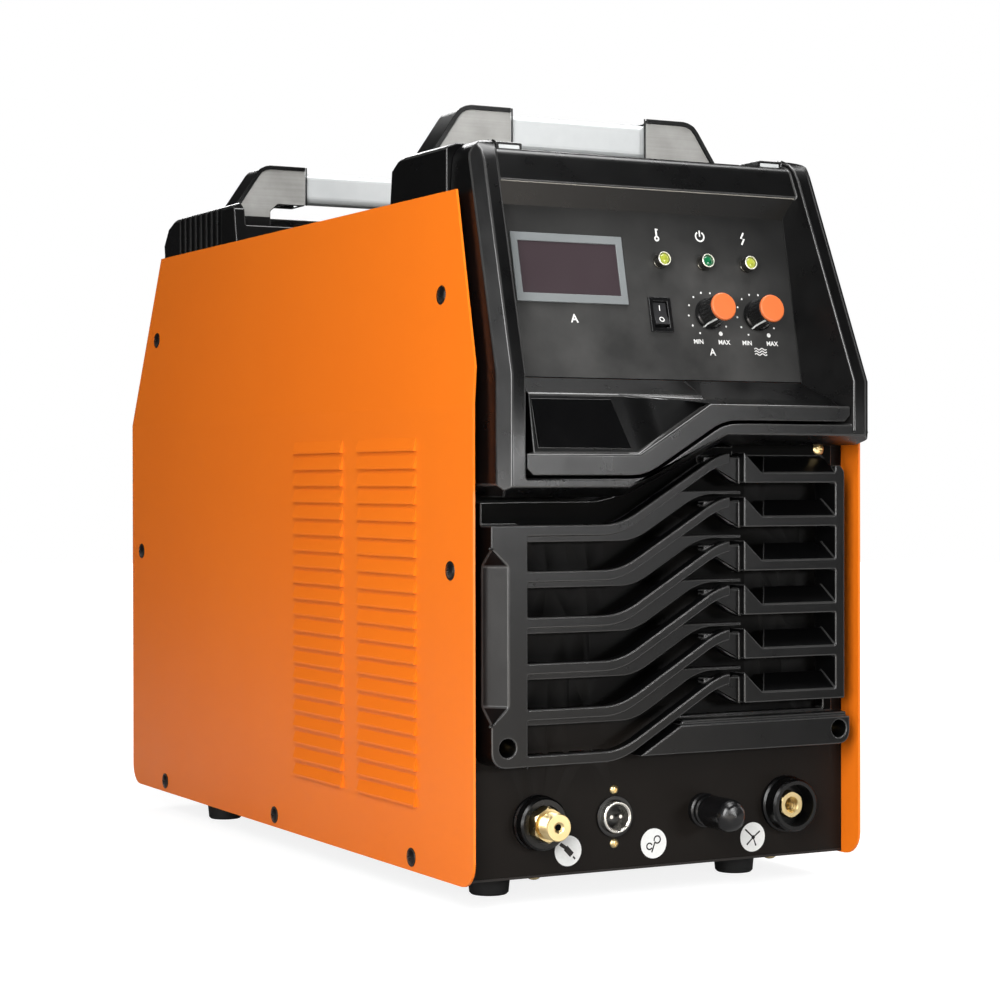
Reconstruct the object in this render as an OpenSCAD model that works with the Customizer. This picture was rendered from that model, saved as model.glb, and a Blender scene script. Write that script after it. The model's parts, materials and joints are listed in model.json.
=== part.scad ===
// Inverter plasma cutter: an upright metal case with a moulded control hood,
// a wave-barred air grille, four front connections and two carrying handles.
// Case frame: X across, Y from the front to the back, Z up. Zero lies on the
// centre line, at the side panels' front edge and at their lower edge; the
// module placed() moves it all onto the floor under the middle of the unit.

/* [Case] */
// Width over the two side panels
case_w = 276; // [262:1:300]
// Length of the side panels
case_d = 585; // [560:1:640]
// Height of the side panels
case_h = 410.5; // [404:0.5:422]
// Thickness of the sheet metal
sheet_t = 1.5; // [1:0.1:2]
// Height at which the front edge starts to lean back
front_bend_h = 303.6; // [300:0.1:310]
// How far the front edge leans back at the top
front_setback = 35.5; // [30:0.5:38]
// Height at which the rear edge starts to lean forward
rear_bend_h = 282; // [270:1:300]
// How far the rear edge leans forward at the top
rear_setback = 46.5; // [42:0.5:52]
// How far each side panel leans inward at the top
side_lean = 7.4; // [6.5:0.1:8]
// Radius of the side panels' lower corners
corner_r = 15; // [8:1:20]
// Depth of the front and rear plates behind the panels' edges
plate_inset = 18; // [16:0.5:20]
// Number of louvres in a column
louvre_rows = 21; // [16:1:22]
// Distance from one louvre to the next
louvre_pitch = 10.8; // [10:0.1:11]
// How far a louvre stands out
louvre_out = 2.2; // [1.5:0.1:3]

/* [Feet] */
// Height of a foot
foot_h = 17; // [14:1:22]
// Radius of a foot where it meets the tray
foot_r = 14; // [12:0.5:16]
// Distance of a front foot's centre from the middle
foot_x = 90; // [80:1:100]
// Distance of a rear foot's centre from the middle
rear_foot_x = 108; // [90:1:116]
// Distance of the front feet behind the front plate
foot_y = 54; // [45:1:60]

/* [Hood] */
// How far the hood stands out in front of the side panels
hood_reach = 23.7; // [20:0.1:26]
// Distance of the hood's flank from the panel's outer face
hood_flank_gap = 6.6; // [5:0.1:8]
// Size of the bevel along the hood's front edge
hood_bevel = 6.7; // [4:0.1:8]
// Width of the hood's rim, bevel included
hood_rim = 15.4; // [13:0.1:17]
// How much narrower each flank is at the top
hood_taper = 7.4; // [4:0.1:9]
// Height of the hood above the side panels
hood_rise = 30.5; // [29:0.5:33]
// Height of the hood's lower edge on the left
hood_low_h = 228; // [226:0.5:230]
// Height of the hood's lower edge on the right
hood_high_h = 259.6; // [257:0.5:262]
// Width of the lower rim
wave_rim = 9; // [8:0.1:10]
// Lean of the control panel from upright, in degrees
panel_lean = 12.6; // [11:0.1:14]
// Depth of the control panel's lower edge below the side panels' top
panel_drop = 111.7; // [110:0.1:114]
// Distance of that edge behind the side panels' front edge
panel_foot_y = 9.7; // [8:0.1:12]

/* [Controls] */
// Diameter of a knob at its base
knob_d = 20; // [18:0.5:22]
// Height of a knob, cap included
knob_h = 19; // [16:0.5:22]
// Diameter of a knob's shaft
shaft_d = 6; // [5:0.1:6.4]
// Distance between the two knobs
knob_pitch = 35.8; // [34:0.1:38]
// Distance between the indicator lamps
lamp_pitch = 31.8; // [28:0.1:34]
// Tilt of the rocker at rest, in degrees
rocker_tilt = 9; // [5:1:12]

/* [Connections] */
// Height of the four front connections
socket_h = 34; // [30:0.5:40]
// Outer diameter of the torch thread
torch_thread_d = 16.6; // [15:0.1:18]
// Outer diameter of the work socket's ring
work_ring_d = 33; // [30:0.5:36]
// Bore of the work socket
work_bore_d = 9; // [8:0.1:10]
// Diameter of the pilot terminal's cap
pilot_cap_d = 20; // [17:0.5:22]
// Inner diameter of the cable gland
gland_bore_d = 13; // [10:0.5:15]
// Diameter of the fan's air way
fan_d = 114; // [104:1:114]

/* [Handles] */
// Height of the handles' top edge above the side panels
handle_rise = 64; // [58:0.5:70]
// Height of a grip bar
bar_h = 23; // [20:0.5:25]
// Depth of a grip bar
bar_t = 19; // [16:0.5:22]
// Half the length of the bare bar
bar_half = 49; // [44:0.5:54]
// Depth of a bracket
bracket_t = 25; // [24:0.5:28]
// Place of the front handle's front face
front_handle_y = 115.6; // [112:0.1:118]
// Place of the rear handle's front face
rear_handle_y = 443.6; // [440:0.1:447]

/* [Hidden] */
$fn = 48;
fit_gap = 0.2;
pivot_d = 3;
half_w = case_w/2;
inner_w = half_w - sheet_t - fit_gap;
front_y = plate_inset;
rear_y = case_d - plate_inset;
tray_h = 1;
deck_h = case_h - 2.5;
well_h = case_h + 13.5;
hood_top = case_h + hood_rise;
lip_low = case_h + 6.4;
rest_h = foot_h - tray_h;
floor_h = tray_h + sheet_t;
inlet_reach = 27;
mid_y = (rear_y + inlet_reach - hood_reach)/2;
bend_z = front_bend_h - 4.6;
panel_foot_h = case_h - panel_drop;
flank_x = half_w - hood_flank_gap;
rim_x = flank_x - hood_rim;
panel_w = flank_x - 27.4;
panel_len = (lip_low - 4 - panel_foot_h)/cos(panel_lean);
panel_t = 2;
wall = 2.6;
cap_x = half_w - 11;
top_w = inner_w - side_lean - 0.4;
side_tilt = atan(side_lean/(case_h - rear_bend_h));
handle_top = case_h + handle_rise;
knob_s = 42.5;
lamp_s = 75.5;
display_x = 44.2 - panel_w;
display_s = 68;
first_lamp_x = 5.4;
first_knob_x = 36.2;
torch_x = -86;
trigger_x = -32.6;
pilot_x = 31;
work_x = 92.4;
grille_y = -5;
grille_left = -(half_w - 9.5);
grille_right = half_w - 15.7;
grille_pitch = 27;
bar_level = 211.5;
bar_face = 6.4;
wave_rise = 43.6;
wave_slope = 0.6;
wave_start = -41;
wave_soft = 12;
step_x = 46.9;
grille_screw_x = 117.9;
grille_screw_z = 81.9;
base_screw_x = 85;
base_screw_y = front_y + 6;
tab_screw_x = 112;
tab_screw_z = 257.2;
tab_t = front_y - grille_y - 14;
tab_top = tab_screw_z + 4.8;
foot_front_y = front_y + foot_y;
foot_rear_y = case_d - 121;
foot_places = [[-foot_x, foot_front_y], [foot_x, foot_front_y],
  [-rear_foot_x, foot_rear_y], [rear_foot_x, foot_rear_y]];
fan_z = 158;
fan_t = 25;
fan_size = fan_d + 6;
gland_x = 96;
gland_z = 46;
inlet_x = torch_x;
earth_x = 20;
switch_x = 70;
switch_z = rear_bend_h - 32;
valve_y = rear_y - 97;
front_screw_yz = [[front_edge(case_h - 62) + 32.5, case_h - 62], [28.7, 184.6]];
low_screw_y = [81.9, case_d/2 + 4, case_d - 73];
rear_screw_yz = [[case_d - 21.5, 183.4],
  [rear_edge(case_h - 63.2) - 23.2, case_h - 63.2]];
screw_yz = concat(front_screw_yz, [for (y = low_screw_y) [y, 8.4]], rear_screw_yz);
louvre_cols = [[74.3, 157.7], [182, 260]];

// ---- frames and profiles ----

module placed() { translate([0, -mid_y, rest_h]) children(); }

// A (y, z) outline carried across from x0 to x1
module across(outline, x0, x1) {
  translate([x0, 0, 0]) rotate([90, 0, 90]) linear_extrude(x1 - x0) polygon(outline);
}

// An (x, z) outline carried back from y0 to y1
module backward(outline, y0, y1) {
  translate([0, y1, 0]) rotate([90, 0, 0]) linear_extrude(y1 - y0) polygon(outline);
}

// A box from its low corner to its high corner
module block(low, high) { translate(low) cube(high - low); }

module both_sides() { children(); mirror([1, 0, 0]) children(); }

// A skin over rings of points, each listed anticlockwise seen from the last ring
module loft(rings) {
  n = len(rings[0]);
  m = len(rings);
  polyhedron(
    points = [for (ring = rings) each ring],
    faces = concat([[for (i = [0:n-1]) i]], [[for (i = [n-1:-1:0]) (m-1)*n + i]],
      [for (k = [0:m-2], i = [0:n-1])
        let (a = k*n + i, b = k*n + (i+1) % n, c = b + n, d = a + n)
        each [[a, d, c], [a, c, b]]]));
}

// The control panel's own frame: x across, y up the slope, z out of the face
module on_panel(x, s) {
  translate([x, panel_foot_y + s*sin(panel_lean), panel_foot_h + s*cos(panel_lean)])
    rotate([90 - panel_lean, 0, 0]) children();
}

// Frames on the front and rear plates, z out of the face
module on_front(x, z) { translate([x, front_y, z]) rotate([90, 0, 0]) children(); }
module on_rear(x, z) { translate([x, rear_y, z]) rotate([90, 0, 180]) children(); }

function arc(cx, cy, r, a0, a1, steps) =
  [for (i = [0:steps]) let (a = a0 + (a1 - a0)*i/steps) [cx + r*cos(a), cy + r*sin(a)]];

// A straight ramp that starts at "at" and is rounded over +-r
function ramp(x, at, r) =
  x <= at - r ? 0 : x >= at + r ? x - at : pow(x - at + r, 2)/(4*r);

// A level, a slope and a higher level in one smooth line
function wave(x, start, rise, slope, r) =
  slope*(ramp(x, start, r) - ramp(x, start + rise/slope, r));

// ---- sheet metal ----

function front_edge(z) =
  z <= front_bend_h ? 0 : front_setback*(z - front_bend_h)/(case_h - front_bend_h);
function rear_edge(z) = case_d
  - (z <= rear_bend_h ? 0 : rear_setback*(z - rear_bend_h)/(case_h - rear_bend_h));

// How far the side panel has come inward at a height
function side_in(z) = z <= rear_bend_h ? 0
  : side_lean*(z - rear_bend_h)/(case_h - rear_bend_h);

side_outline = concat(arc(corner_r, corner_r, corner_r, 270, 180, 6),
  [[0, front_bend_h], [front_setback, case_h], [case_d - rear_setback, case_h],
   [case_d, rear_bend_h]],
  arc(case_d - corner_r, corner_r, corner_r, 0, -90, 6));

// Moves what is drawn on an upright side sheet onto its leaning upper part
module leaning() {
  translate([sheet_t, 0, rear_bend_h]) rotate([0, -side_tilt, 0])
    translate([-sheet_t, 0, -rear_bend_h]) children();
}
module at_side_screws(high) {
  for (p = screw_yz) if ((p[1] > rear_bend_h) == high) translate([0, p[0], p[1]]) children();
}

// Holes that the upper side screws bite into
module upper_screw_holes() {
  both_sides() translate([half_w - sheet_t, 0, 0]) leaning() at_side_screws(true)
    translate([-16, 0, 0]) rotate([0, 90, 0]) cylinder(d = 3.6, h = 18);
}

function louvre_z(i) = rear_bend_h - 26.2 - louvre_pitch*i;

// Pressed hood of one louvre, open at its lower edge, on the plane x = 0
module louvre_hood(y0, y1, z) {
  lip = 1;
  rise = 8.4;
  difference() {
    block([0, y0, z], [louvre_out, y1, z + rise]);
    translate([louvre_out, 0, z + 1.4]) rotate([0, -atan(louvre_out/(rise - 1.6)), 0])
      translate([0, y0 - 1, 0]) cube([10, y1 - y0 + 2, 20]);
    block([-1, y0 + lip, z - 1], [louvre_out - lip, y1 - lip, z + 2.4]);
  }
}

// Side panel, upright at x = 0..sheet_t and leaning inward above the crease,
// with its louvres standing out to +x
module side_sheet() {
  difference() {
    intersection() {
      across(side_outline, -20, 20);
      backward([[0, 0], [sheet_t, 0], [sheet_t, rear_bend_h], [sheet_t - side_lean, case_h],
        [-side_lean, case_h], [0, rear_bend_h]], 0, case_d);
    }
    for (col = louvre_cols, i = [0:louvre_rows - 1])
      block([-1, col[0] + 1, louvre_z(i)], [sheet_t + 1, col[1] - 1, louvre_z(i) + 2.4]);
    at_side_screws(false) translate([-1, 0, 0]) rotate([0, 90, 0]) cylinder(d = 4.4, h = 4);
    leaning() at_side_screws(true) translate([-1, 0, 0]) rotate([0, 90, 0])
      cylinder(d = 4.4, h = 4);
  }
  for (col = louvre_cols, i = [0:louvre_rows - 1])
    translate([sheet_t, 0, 0]) louvre_hood(col[0], col[1], louvre_z(i));
}

module right_side_panel() color("#ee7a1c") placed()
  translate([half_w - sheet_t, 0, 0]) side_sheet();
module left_side_panel() color("#ee7a1c") placed()
  mirror([1, 0, 0]) translate([half_w - sheet_t, 0, 0]) side_sheet();

module base_screw_holes() {
  for (x = [-base_screw_x, base_screw_x]) translate([x, base_screw_y, 0]) cylinder(d = 4.2, h = 8);
}

module base_tray() color("#2a2523") placed() difference() {
  union() {
    block([-inner_w, front_y, tray_h], [inner_w, rear_y, tray_h + sheet_t]);
    both_sides() block([inner_w - sheet_t, front_y + 30, tray_h],
      [inner_w, rear_y - 30, tray_h + 16]);
  }
  for (p = foot_places) translate([p[0], p[1], 0]) cylinder(d = 5.4, h = 5);
  base_screw_holes();
  for (x = [-60:12:60], y = [case_d/2 - 30, case_d/2 + 30])
    block([x - 2, y - 22, 0], [x + 2, y + 22, 6]);
  both_sides() for (y = low_screw_y) translate([inner_w - 5, y, 8.4])
    rotate([0, 90, 0]) cylinder(d = 3.6, h = 8);
}

// Flanges that the side panels' screws bite into
module plate_flanges(y0, y1, z1) {
  both_sides() block([inner_w - sheet_t, y0, tray_h + 20], [inner_w, y1, z1]);
}

module front_plate() color("#2a2523") placed() difference() {
  union() {
    block([-inner_w, front_y, tray_h + sheet_t], [inner_w, front_y + sheet_t, hood_high_h + 3]);
    plate_flanges(front_y, front_y + 26, hood_low_h - 4);
    block([-inner_w + 10, front_y, floor_h], [inner_w - 10, front_y + 14, floor_h + sheet_t]);
  }
  base_screw_holes();
  on_front(torch_x, socket_h) translate([0, 0, -5]) cylinder(d = 22, h = 10);
  on_front(trigger_x, socket_h) translate([0, 0, -5]) cylinder(d = 16.4, h = 10);
  for (s = [-1, 1]) on_front(trigger_x, socket_h + s*16.3)
    translate([0, 0, -5]) cylinder(d = 3, h = 10);
  on_front(pilot_x, socket_h) translate([0, 0, -5]) cylinder(d = 12, h = 10);
  on_front(work_x, socket_h) translate([0, 0, -5]) cylinder(d = 24, h = 10);
  for (x = [-grille_screw_x, grille_screw_x]) on_front(x, grille_screw_z)
    translate([0, 0, -5]) cylinder(d = 4.2, h = 10);
  on_front(tab_screw_x, tab_screw_z) translate([0, 0, -5]) cylinder(d = 4.2, h = 10);
  // air slots, each row hidden behind a bar of the grille
  for (i = [0:5], x = [each [-106:14:-50], each [62:14:104]])
    let (z = bar_level - i*grille_pitch + (x < 0 ? -3.4 : 27.4))
      block([x, front_y - 1, z - 2], [x + 10, front_y + 4, z + 2]);
  both_sides() translate([inner_w - 5, front_screw_yz[1][0], front_screw_yz[1][1]])
    rotate([0, 90, 0]) cylinder(d = 3.6, h = 8);
}

// Stamped rings of air slots in front of the fan
module fan_slots() {
  for (r = [16:10:52], a = [0, 90, 180, 270])
    on_rear(0, fan_z) translate([0, 0, -5]) rotate([0, 0, a + 6])
      rotate_extrude(angle = 78) translate([r, 0]) square([6, 10]);
}

module rear_plate() color("#2a2523") placed() difference() {
  union() {
    block([-inner_w, rear_y - sheet_t, tray_h + sheet_t], [inner_w, rear_y, rear_bend_h - 8]);
    plate_flanges(rear_y - 26, rear_y, rear_bend_h - 8);
  }
  fan_slots();
  for (x = [-52.5, 52.5], z = [-52.5, 52.5]) on_rear(x, fan_z + z)
    translate([0, 0, -5]) cylinder(d = 4.4, h = 10);
  on_rear(gland_x, gland_z) translate([0, 0, -5]) cylinder(d = 20.4, h = 10);
  on_rear(inlet_x, socket_h) translate([0, 0, -5]) cylinder(d = 13.2, h = 10);
  on_rear(earth_x, gland_z) translate([0, 0, -5]) cylinder(d = 8.4, h = 10);
  on_rear(switch_x, switch_z) block([-16.2, -9.2, -5], [16.2, 9.2, 5]);
  both_sides() translate([inner_w - 5, rear_screw_yz[0][0], rear_screw_yz[0][1]])
    rotate([0, 90, 0]) cylinder(d = 3.6, h = 8);
}

module top_cover() color("#2a2523") placed() {
  y0 = seam_y + 30;
  y1 = rear_cap_end - 22.5;
  block([-top_w, y0, deck_h - sheet_t], [top_w, y1, deck_h]);
  both_sides() block([top_w - sheet_t, y0, deck_h - 14], [top_w, y1, deck_h]);
}

// ---- control hood ----

lean_run = front_setback + 10.9;
lean_top = case_h + 11.3;
seam_y = front_setback + 19;
// Front face of the rim at a height, and half the hood's width there
function face_y(z) = z <= bend_z ? -hood_reach
  : -hood_reach + lean_run*(z - bend_z)/(lean_top - bend_z);
function hood_x(z) = z <= bend_z ? flank_x
  : flank_x - hood_taper*(z - bend_z)/(lean_top - bend_z);
function panel_y(z) = panel_foot_y + (z - panel_foot_h)*tan(panel_lean);

// Section of the right flank just above the bend: a bevelled rim, an outer wall
// that ends at ye, and a cheek that runs in to the control panel
rim_y = -hood_reach;
cheek_y = panel_y(bend_z);
cheek_in = 17;
wall_end = plate_inset - 0.3;
flank_front = [[rim_x, rim_y], [flank_x - hood_bevel, rim_y], [flank_x, rim_y + hood_bevel]];
flank_inside = [[flank_x - wall, rim_y + hood_bevel + 1], [flank_x - hood_bevel, rim_y + wall + 1],
  [rim_x + wall, rim_y + wall + 1], [rim_x - cheek_in + 3.5, cheek_y]];

// The way the flank leans above the bend
lean_len = norm([hood_taper, lean_run, lean_top - bend_z]);
lean_x = -asin(lean_run/lean_len);
lean_y = -atan(hood_taper/(lean_top - bend_z));
// A section at the bend's height carried up along the lean, from z0 to z1
module carried(section, z0, z1) {
  intersection() {
    translate([0, 0, bend_z]) rotate([lean_x, lean_y, 0]) translate([0, 0, -60])
      linear_extrude(300) polygon([for (p = section)
        [p[0]*cos(lean_y), p[0]*sin(lean_x)*sin(lean_y) + p[1]*cos(lean_x)]]);
    block([0, -100, z0], [200, 300, z1]);
  }
}
// Everything behind a line that follows the side panel's front edge
module behind_edge(gap, z0, z1, x0, x1) {
  across([[gap + front_edge(z0), z0], [300, z0], [300, z1], [gap + front_edge(z1), z1],
    [gap, front_bend_h]], x0, x1);
}

module flank_low(z0) {
  translate([0, 0, z0]) linear_extrude(bend_z - z0)
    polygon(concat(flank_front, [[flank_x, wall_end], [flank_x - wall, wall_end]],
      flank_inside, [[rim_x - cheek_in, cheek_y]]));
}
module flank_high() {
  hollow_top = deck_h + 0.4;
  xc = hood_x(hood_top - 13) - 13;
  top_z = hood_top - 13;
  top_y = face_y(top_z);
  difference() {
    carried(concat(flank_front, [[flank_x, 60], [rim_x - cheek_in, 60],
      [rim_x - cheek_in, cheek_y]]), bend_z, hood_top);
    carried(concat(flank_inside, [[rim_x - cheek_in + 3.5, 90], [flank_x - wall, 90]]),
      bend_z - 1, hollow_top);
    behind_edge(wall_end, bend_z - 1, hollow_top, 0, 200);
    // the control panel and the seam with the top moulding
    on_panel(0, 0) block([-panel_w - 0.8, -50, -80], [panel_w + 0.8, panel_len + 0.8, 0]);
    block([0, seam_y, bend_z - 1], [200, 300, hood_top + 1]);
    // round outer corner and round front edge
    backward(concat([[xc, hood_top + 20]], arc(xc, hood_top - 13, 13, 90, 0, 5),
      [[200, hood_top - 13], [200, hood_top + 20]]), -60, 100);
    across([[-60, top_z], [top_y, top_z], [top_y + 3.2, top_z + 6.4], [top_y + 7.2, top_z + 10.8],
      [top_y + 13, hood_top], [top_y + 13, hood_top + 20], [-60, hood_top + 20]], 0, 200);
  }
  // raised pad beside the lip
  block([rim_x - hood_taper - 21.6, seam_y - 17.1, hood_top - 4],
    [rim_x - hood_taper - 4, seam_y, hood_top]);
}
// Skirt behind the side panel's edge and the web that holds it
module skirt() {
  z1 = deck_h - 4;
  ys = plate_inset - 3.4;
  translate([half_w - sheet_t, 0, 0]) leaning() {
    difference() {
      behind_edge(ys, rear_bend_h + 2, z1, -0.3 - wall, -0.3);
      behind_edge(ys + 33, rear_bend_h + 1, z1 + 1, -1 - wall, 1);
    }
    difference() {
      behind_edge(ys, rear_bend_h + 3, z1 - 1, -12, -0.3 - wall/2);
      behind_edge(ys + wall, rear_bend_h + 2, z1, -13, 1);
    }
  }
}
module hood_flank(z0) {
  flank_low(z0);
  flank_high();
  skirt();
}

// The lip over the control panel
module hood_lip() {
  x = rim_x - hood_taper - 1;
  yl = front_setback - 10.8;
  across(concat([[yl, lip_low], [yl + 1.2, lip_low - 0.6], [yl + 14.3, lip_low - 2],
      [seam_y, lip_low - 2], [seam_y, hood_top - 4], [yl + 14.3, hood_top - 4]],
    [for (a = [0:15:75]) [yl + 12.5 - 7*sin(a), hood_top - 11 + 7*cos(a)]]), -x, x);
}

wave_run = hood_high_h - hood_low_h;
hood_wave_slope = 0.46;
hood_wave_x = -45;
hood_wave_end = hood_wave_x + wave_run/hood_wave_slope;
function low_edge(x) = hood_low_h + wave(x, hood_wave_x, wave_run, hood_wave_slope, 8);
function strip_low(x) = hood_low_h + 12.4 + wave(x, -34, 33.2, 0.6, 9);
wave_xs = [for (x = [-100:10:-70]) x, for (x = [-68:3:-50]) x, for (x = [-44:6:0]) x,
  for (x = [2:3:20]) x, for (x = [26:12:98]) x];

// Wave-shaped rim that closes the hood at the bottom
module hood_wave_rim() {
  outer = flank_x;
  low = [for (x = wave_xs) [x, low_edge(x)]];
  high = [for (i = [len(wave_xs)-1:-1:0]) let (x = wave_xs[i]) [x, strip_low(x) - 1.8]];
  outline = concat([[-outer + 7, hood_low_h]], low,
    arc(outer - 8, hood_high_h + 8, 8, -90, 0, 4),
    [[rim_x - 1, hood_high_h + 8], [rim_x - 1, strip_low(98) - 1.8]], high, [[-rim_x + 1, strip_low(-100) - 1.8],
    [-outer, hood_low_h + 12], [-outer, hood_low_h + 7]]);
  difference() {
    backward(outline, -hood_reach, wall_end - 0.5);
    // underside bevel: level, slope, level
    wave_bevel(-200, hood_low_h, 0);
    intersection() {
      wave_bevel(hood_wave_x, hood_low_h, atan(hood_wave_slope));
      wave_bevel(hood_wave_end, hood_high_h, 0);
    }
    for (s = [-1, 1]) translate([s*flank_x, -hood_reach + hood_bevel, hood_low_h])
      rotate([0, 0, s*45]) block([-20, -40, -5], [20, 0, 60]);
  }
}

// Everything below a sloping face that starts 6 mm up on the front
module wave_bevel(x, z, turn) {
  translate([x, -hood_reach, z]) rotate([0, -turn, 0]) translate([0, 0, 5.8])
    rotate([-27, 0, 0]) block([-200, -30, -60], [600, 60, 0]);
}

module front_hood() color("#1b1b1c") placed() difference() {
  union() {
    hood_flank(hood_high_h + 7.4);
    mirror([1, 0, 0]) hood_flank(hood_low_h + 7);
    hood_lip();
    hood_wave_rim();
  }
  // room for the grille's upper edge, its fixing tab and the screw's head
  block([step_x - 1, front_y - tab_t - 3, hood_low_h], [grille_right + 0.5, front_y, tab_top + 0.5]);
  upper_screw_holes();
}

// ---- chin below the control panel ----

strip_y = -hood_reach + 1.4;
chin_y = strip_y + 3;
strip_hi = hood_low_h + 25.2;
strip_top_right = hood_low_h + 55.5;
facet_x = [-37.5, 12];
chin_low = strip_hi - 2;
chin_top = strip_top_right + 5;
chin_back = chin_y + 7;

module chin_moulding() color("#202021") placed() intersection() {
  chin_solid();
  translate([0, 0, hood_low_h]) linear_extrude(120) polygon([for (p = [[1, rim_y], [1, cheek_y + 5],
    [-1, cheek_y + 5], [-1, rim_y]])
    [p[0]*(rim_x - 0.4 - cheek_in*(p[1] - rim_y)/(cheek_y - rim_y)), p[1]]]);
}
module chin_solid() {
  x = rim_x - 2;
  lows = [for (xx = wave_xs) [xx, strip_low(xx) + 0.2]];
  // raised strip that follows the wave
  backward(concat([[-x, strip_low(-100) + 4], [-x + 4, strip_low(-100) + 0.2]], lows,
    [[x - 4, strip_low(98) + 0.2], [x, strip_low(98) + 4], [x, strip_top_right],
     [facet_x[1], strip_top_right], [facet_x[0], strip_hi], [-x, strip_hi]]),
    strip_y, chin_y + 6);
  yb = panel_foot_y;
  difference() {
    chin_body(x, yb);
    backward(concat([[-200, 200], [200, 200], [200, strip_low(98) + 3]],
      [for (i = [len(wave_xs)-1:-1:0]) [wave_xs[i], strip_low(wave_xs[i]) + 3]],
      [[-200, strip_low(-100) + 3]]), strip_y - 1, yb + 1);
  }
}

// Leaning face on the left, upright face on the right, both with the ledge
// that runs back to the control panel's lower edge
module chin_body(x, yb) {
  across([[chin_y, chin_low], [yb, chin_low], [yb, panel_foot_h], [chin_back, chin_top]],
    -x + 6, facet_x[1]);
  across([[chin_y, chin_low], [yb, chin_low], [yb, panel_foot_h], [chin_y, strip_top_right]],
    facet_x[1] - 0.01, x - 6);
  // triangular facet between the two faces
  polyhedron(points = [[facet_x[0], chin_y, chin_low], [facet_x[0] - 9.5, chin_back, chin_top],
      [facet_x[0] - 9.5, yb, panel_foot_h], [facet_x[0] - 9.5, yb, chin_low],
      [facet_x[1], chin_y, chin_low], [facet_x[1], chin_y, strip_top_right],
      [facet_x[1], yb, panel_foot_h], [facet_x[1], yb, chin_low]],
    faces = [[1, 5, 0], [0, 5, 4], [2, 1, 0], [2, 0, 3], [2, 6, 5], [2, 5, 1], [5, 6, 7, 4],
      [6, 2, 3, 7], [0, 4, 7, 3]]);
}

// Bare glossy plate on the leaning face of the chin
module badge_plate() color("#0d0c0d") placed() {
  lean = atan((chin_back - chin_y)/(chin_top - chin_low));
  translate([0, chin_y, chin_low]) rotate([90 - lean, 0, 0]) linear_extrude(1.2)
    polygon([[-rim_x + 10.5, 5.2], [facet_x[0] - 5, 5], [facet_x[0] - 16, 34.6],
      [-rim_x + 8.5, 34.6]]);
}

// ---- control panel and what it carries ----

module control_panel() color("#3c3c3c") placed() difference() {
  on_panel(0, 0) block([-panel_w, 0.4, -panel_t], [panel_w, panel_len, 0]);
  on_panel(display_x, display_s) block([-35, -17, -5], [35, 17, 5]);
  for (i = [0:2]) on_panel(first_lamp_x + i*lamp_pitch, lamp_s)
    translate([0, 0, -5]) cylinder(d = 7, h = 10);
  for (i = [0:1]) on_panel(first_knob_x + i*knob_pitch, knob_s)
    translate([0, 0, -5]) cylinder(d = 8.2, h = 10);
  on_panel(1, 41) block([-6.7, -9.7, -5], [6.7, 9.7, 5]);
}

module display_bezel() color("#8f9496") placed() on_panel(display_x, display_s) difference() {
  block([-38.6, -21.5, 0], [38.6, 21.5, 1.6]);
  block([-34, -16.2, -1], [34, 16.2, 3]);
}

module display_window() color("#3a2d33") placed() on_panel(display_x, display_s)
  block([-34, -16.2, -3], [34, 16.2, 0.9]);

module lamps(list) {
  for (i = list) on_panel(first_lamp_x + i*lamp_pitch, lamp_s) children();
}
module lamp_bezels() color("#c9ccce") placed() lamps([0:2]) difference() {
  union() {
    rotate_extrude() polygon([[0, 0], [4.8, 0], [4.8, 0.8], [4.5, 1.2], [4.5, 6], [4.2, 6.4], [0, 6.4]]);
    translate([0, 0, -9]) cylinder(d = 6.8, h = 10);
  }
  translate([0, 0, -10]) cylinder(d = 5.6, h = 20);
  translate([0, 0, 3.3]) cylinder(d = 7.5, h = 10);
}
module lens() {
  translate([0, 0, -6]) cylinder(d = 5.4, h = 9.5);
  intersection() {
    translate([0, 0, 0.64]) sphere(r = 6);
    translate([0, 0, 3.3]) cylinder(d = 7.3, h = 4);
  }
}
module yellow_lamp_lenses() color("#b7c22f") placed() lamps([0, 2]) lens();
module green_lamp_lens() color("#1f8a3b") placed() lamps([1]) lens();

module purge_switch_body() color("#18181a") placed() on_panel(1, 41) difference() {
  union() {
    block([-7.8, -11, 0], [7.8, 11, 1.8]);
    block([-6.5, -9.5, -14], [6.5, 9.5, 0.5]);
  }
  block([-5.2, -8.3, -9], [5.2, 8.3, 4]);
  translate([0, 0, -4]) rotate([0, 90, 0]) cylinder(d = pivot_d + 0.1, h = 12.8, center = true);
}
module purge_switch_rocker() color("#242427") placed() on_panel(1, 41)
  translate([0, 0, -4]) rotate([-rocker_tilt, 0, 0]) rotate([90, 0, 90]) {
    linear_extrude(9.6, center = true)
      polygon([[-3, -3.4], [3, -3.4], [6.9, 0], [7.2, 5.6], [0, 4.5], [-7.2, 5.6], [-6.9, 0]]);
    cylinder(d = pivot_d, h = 12.4, center = true);
  }

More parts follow.
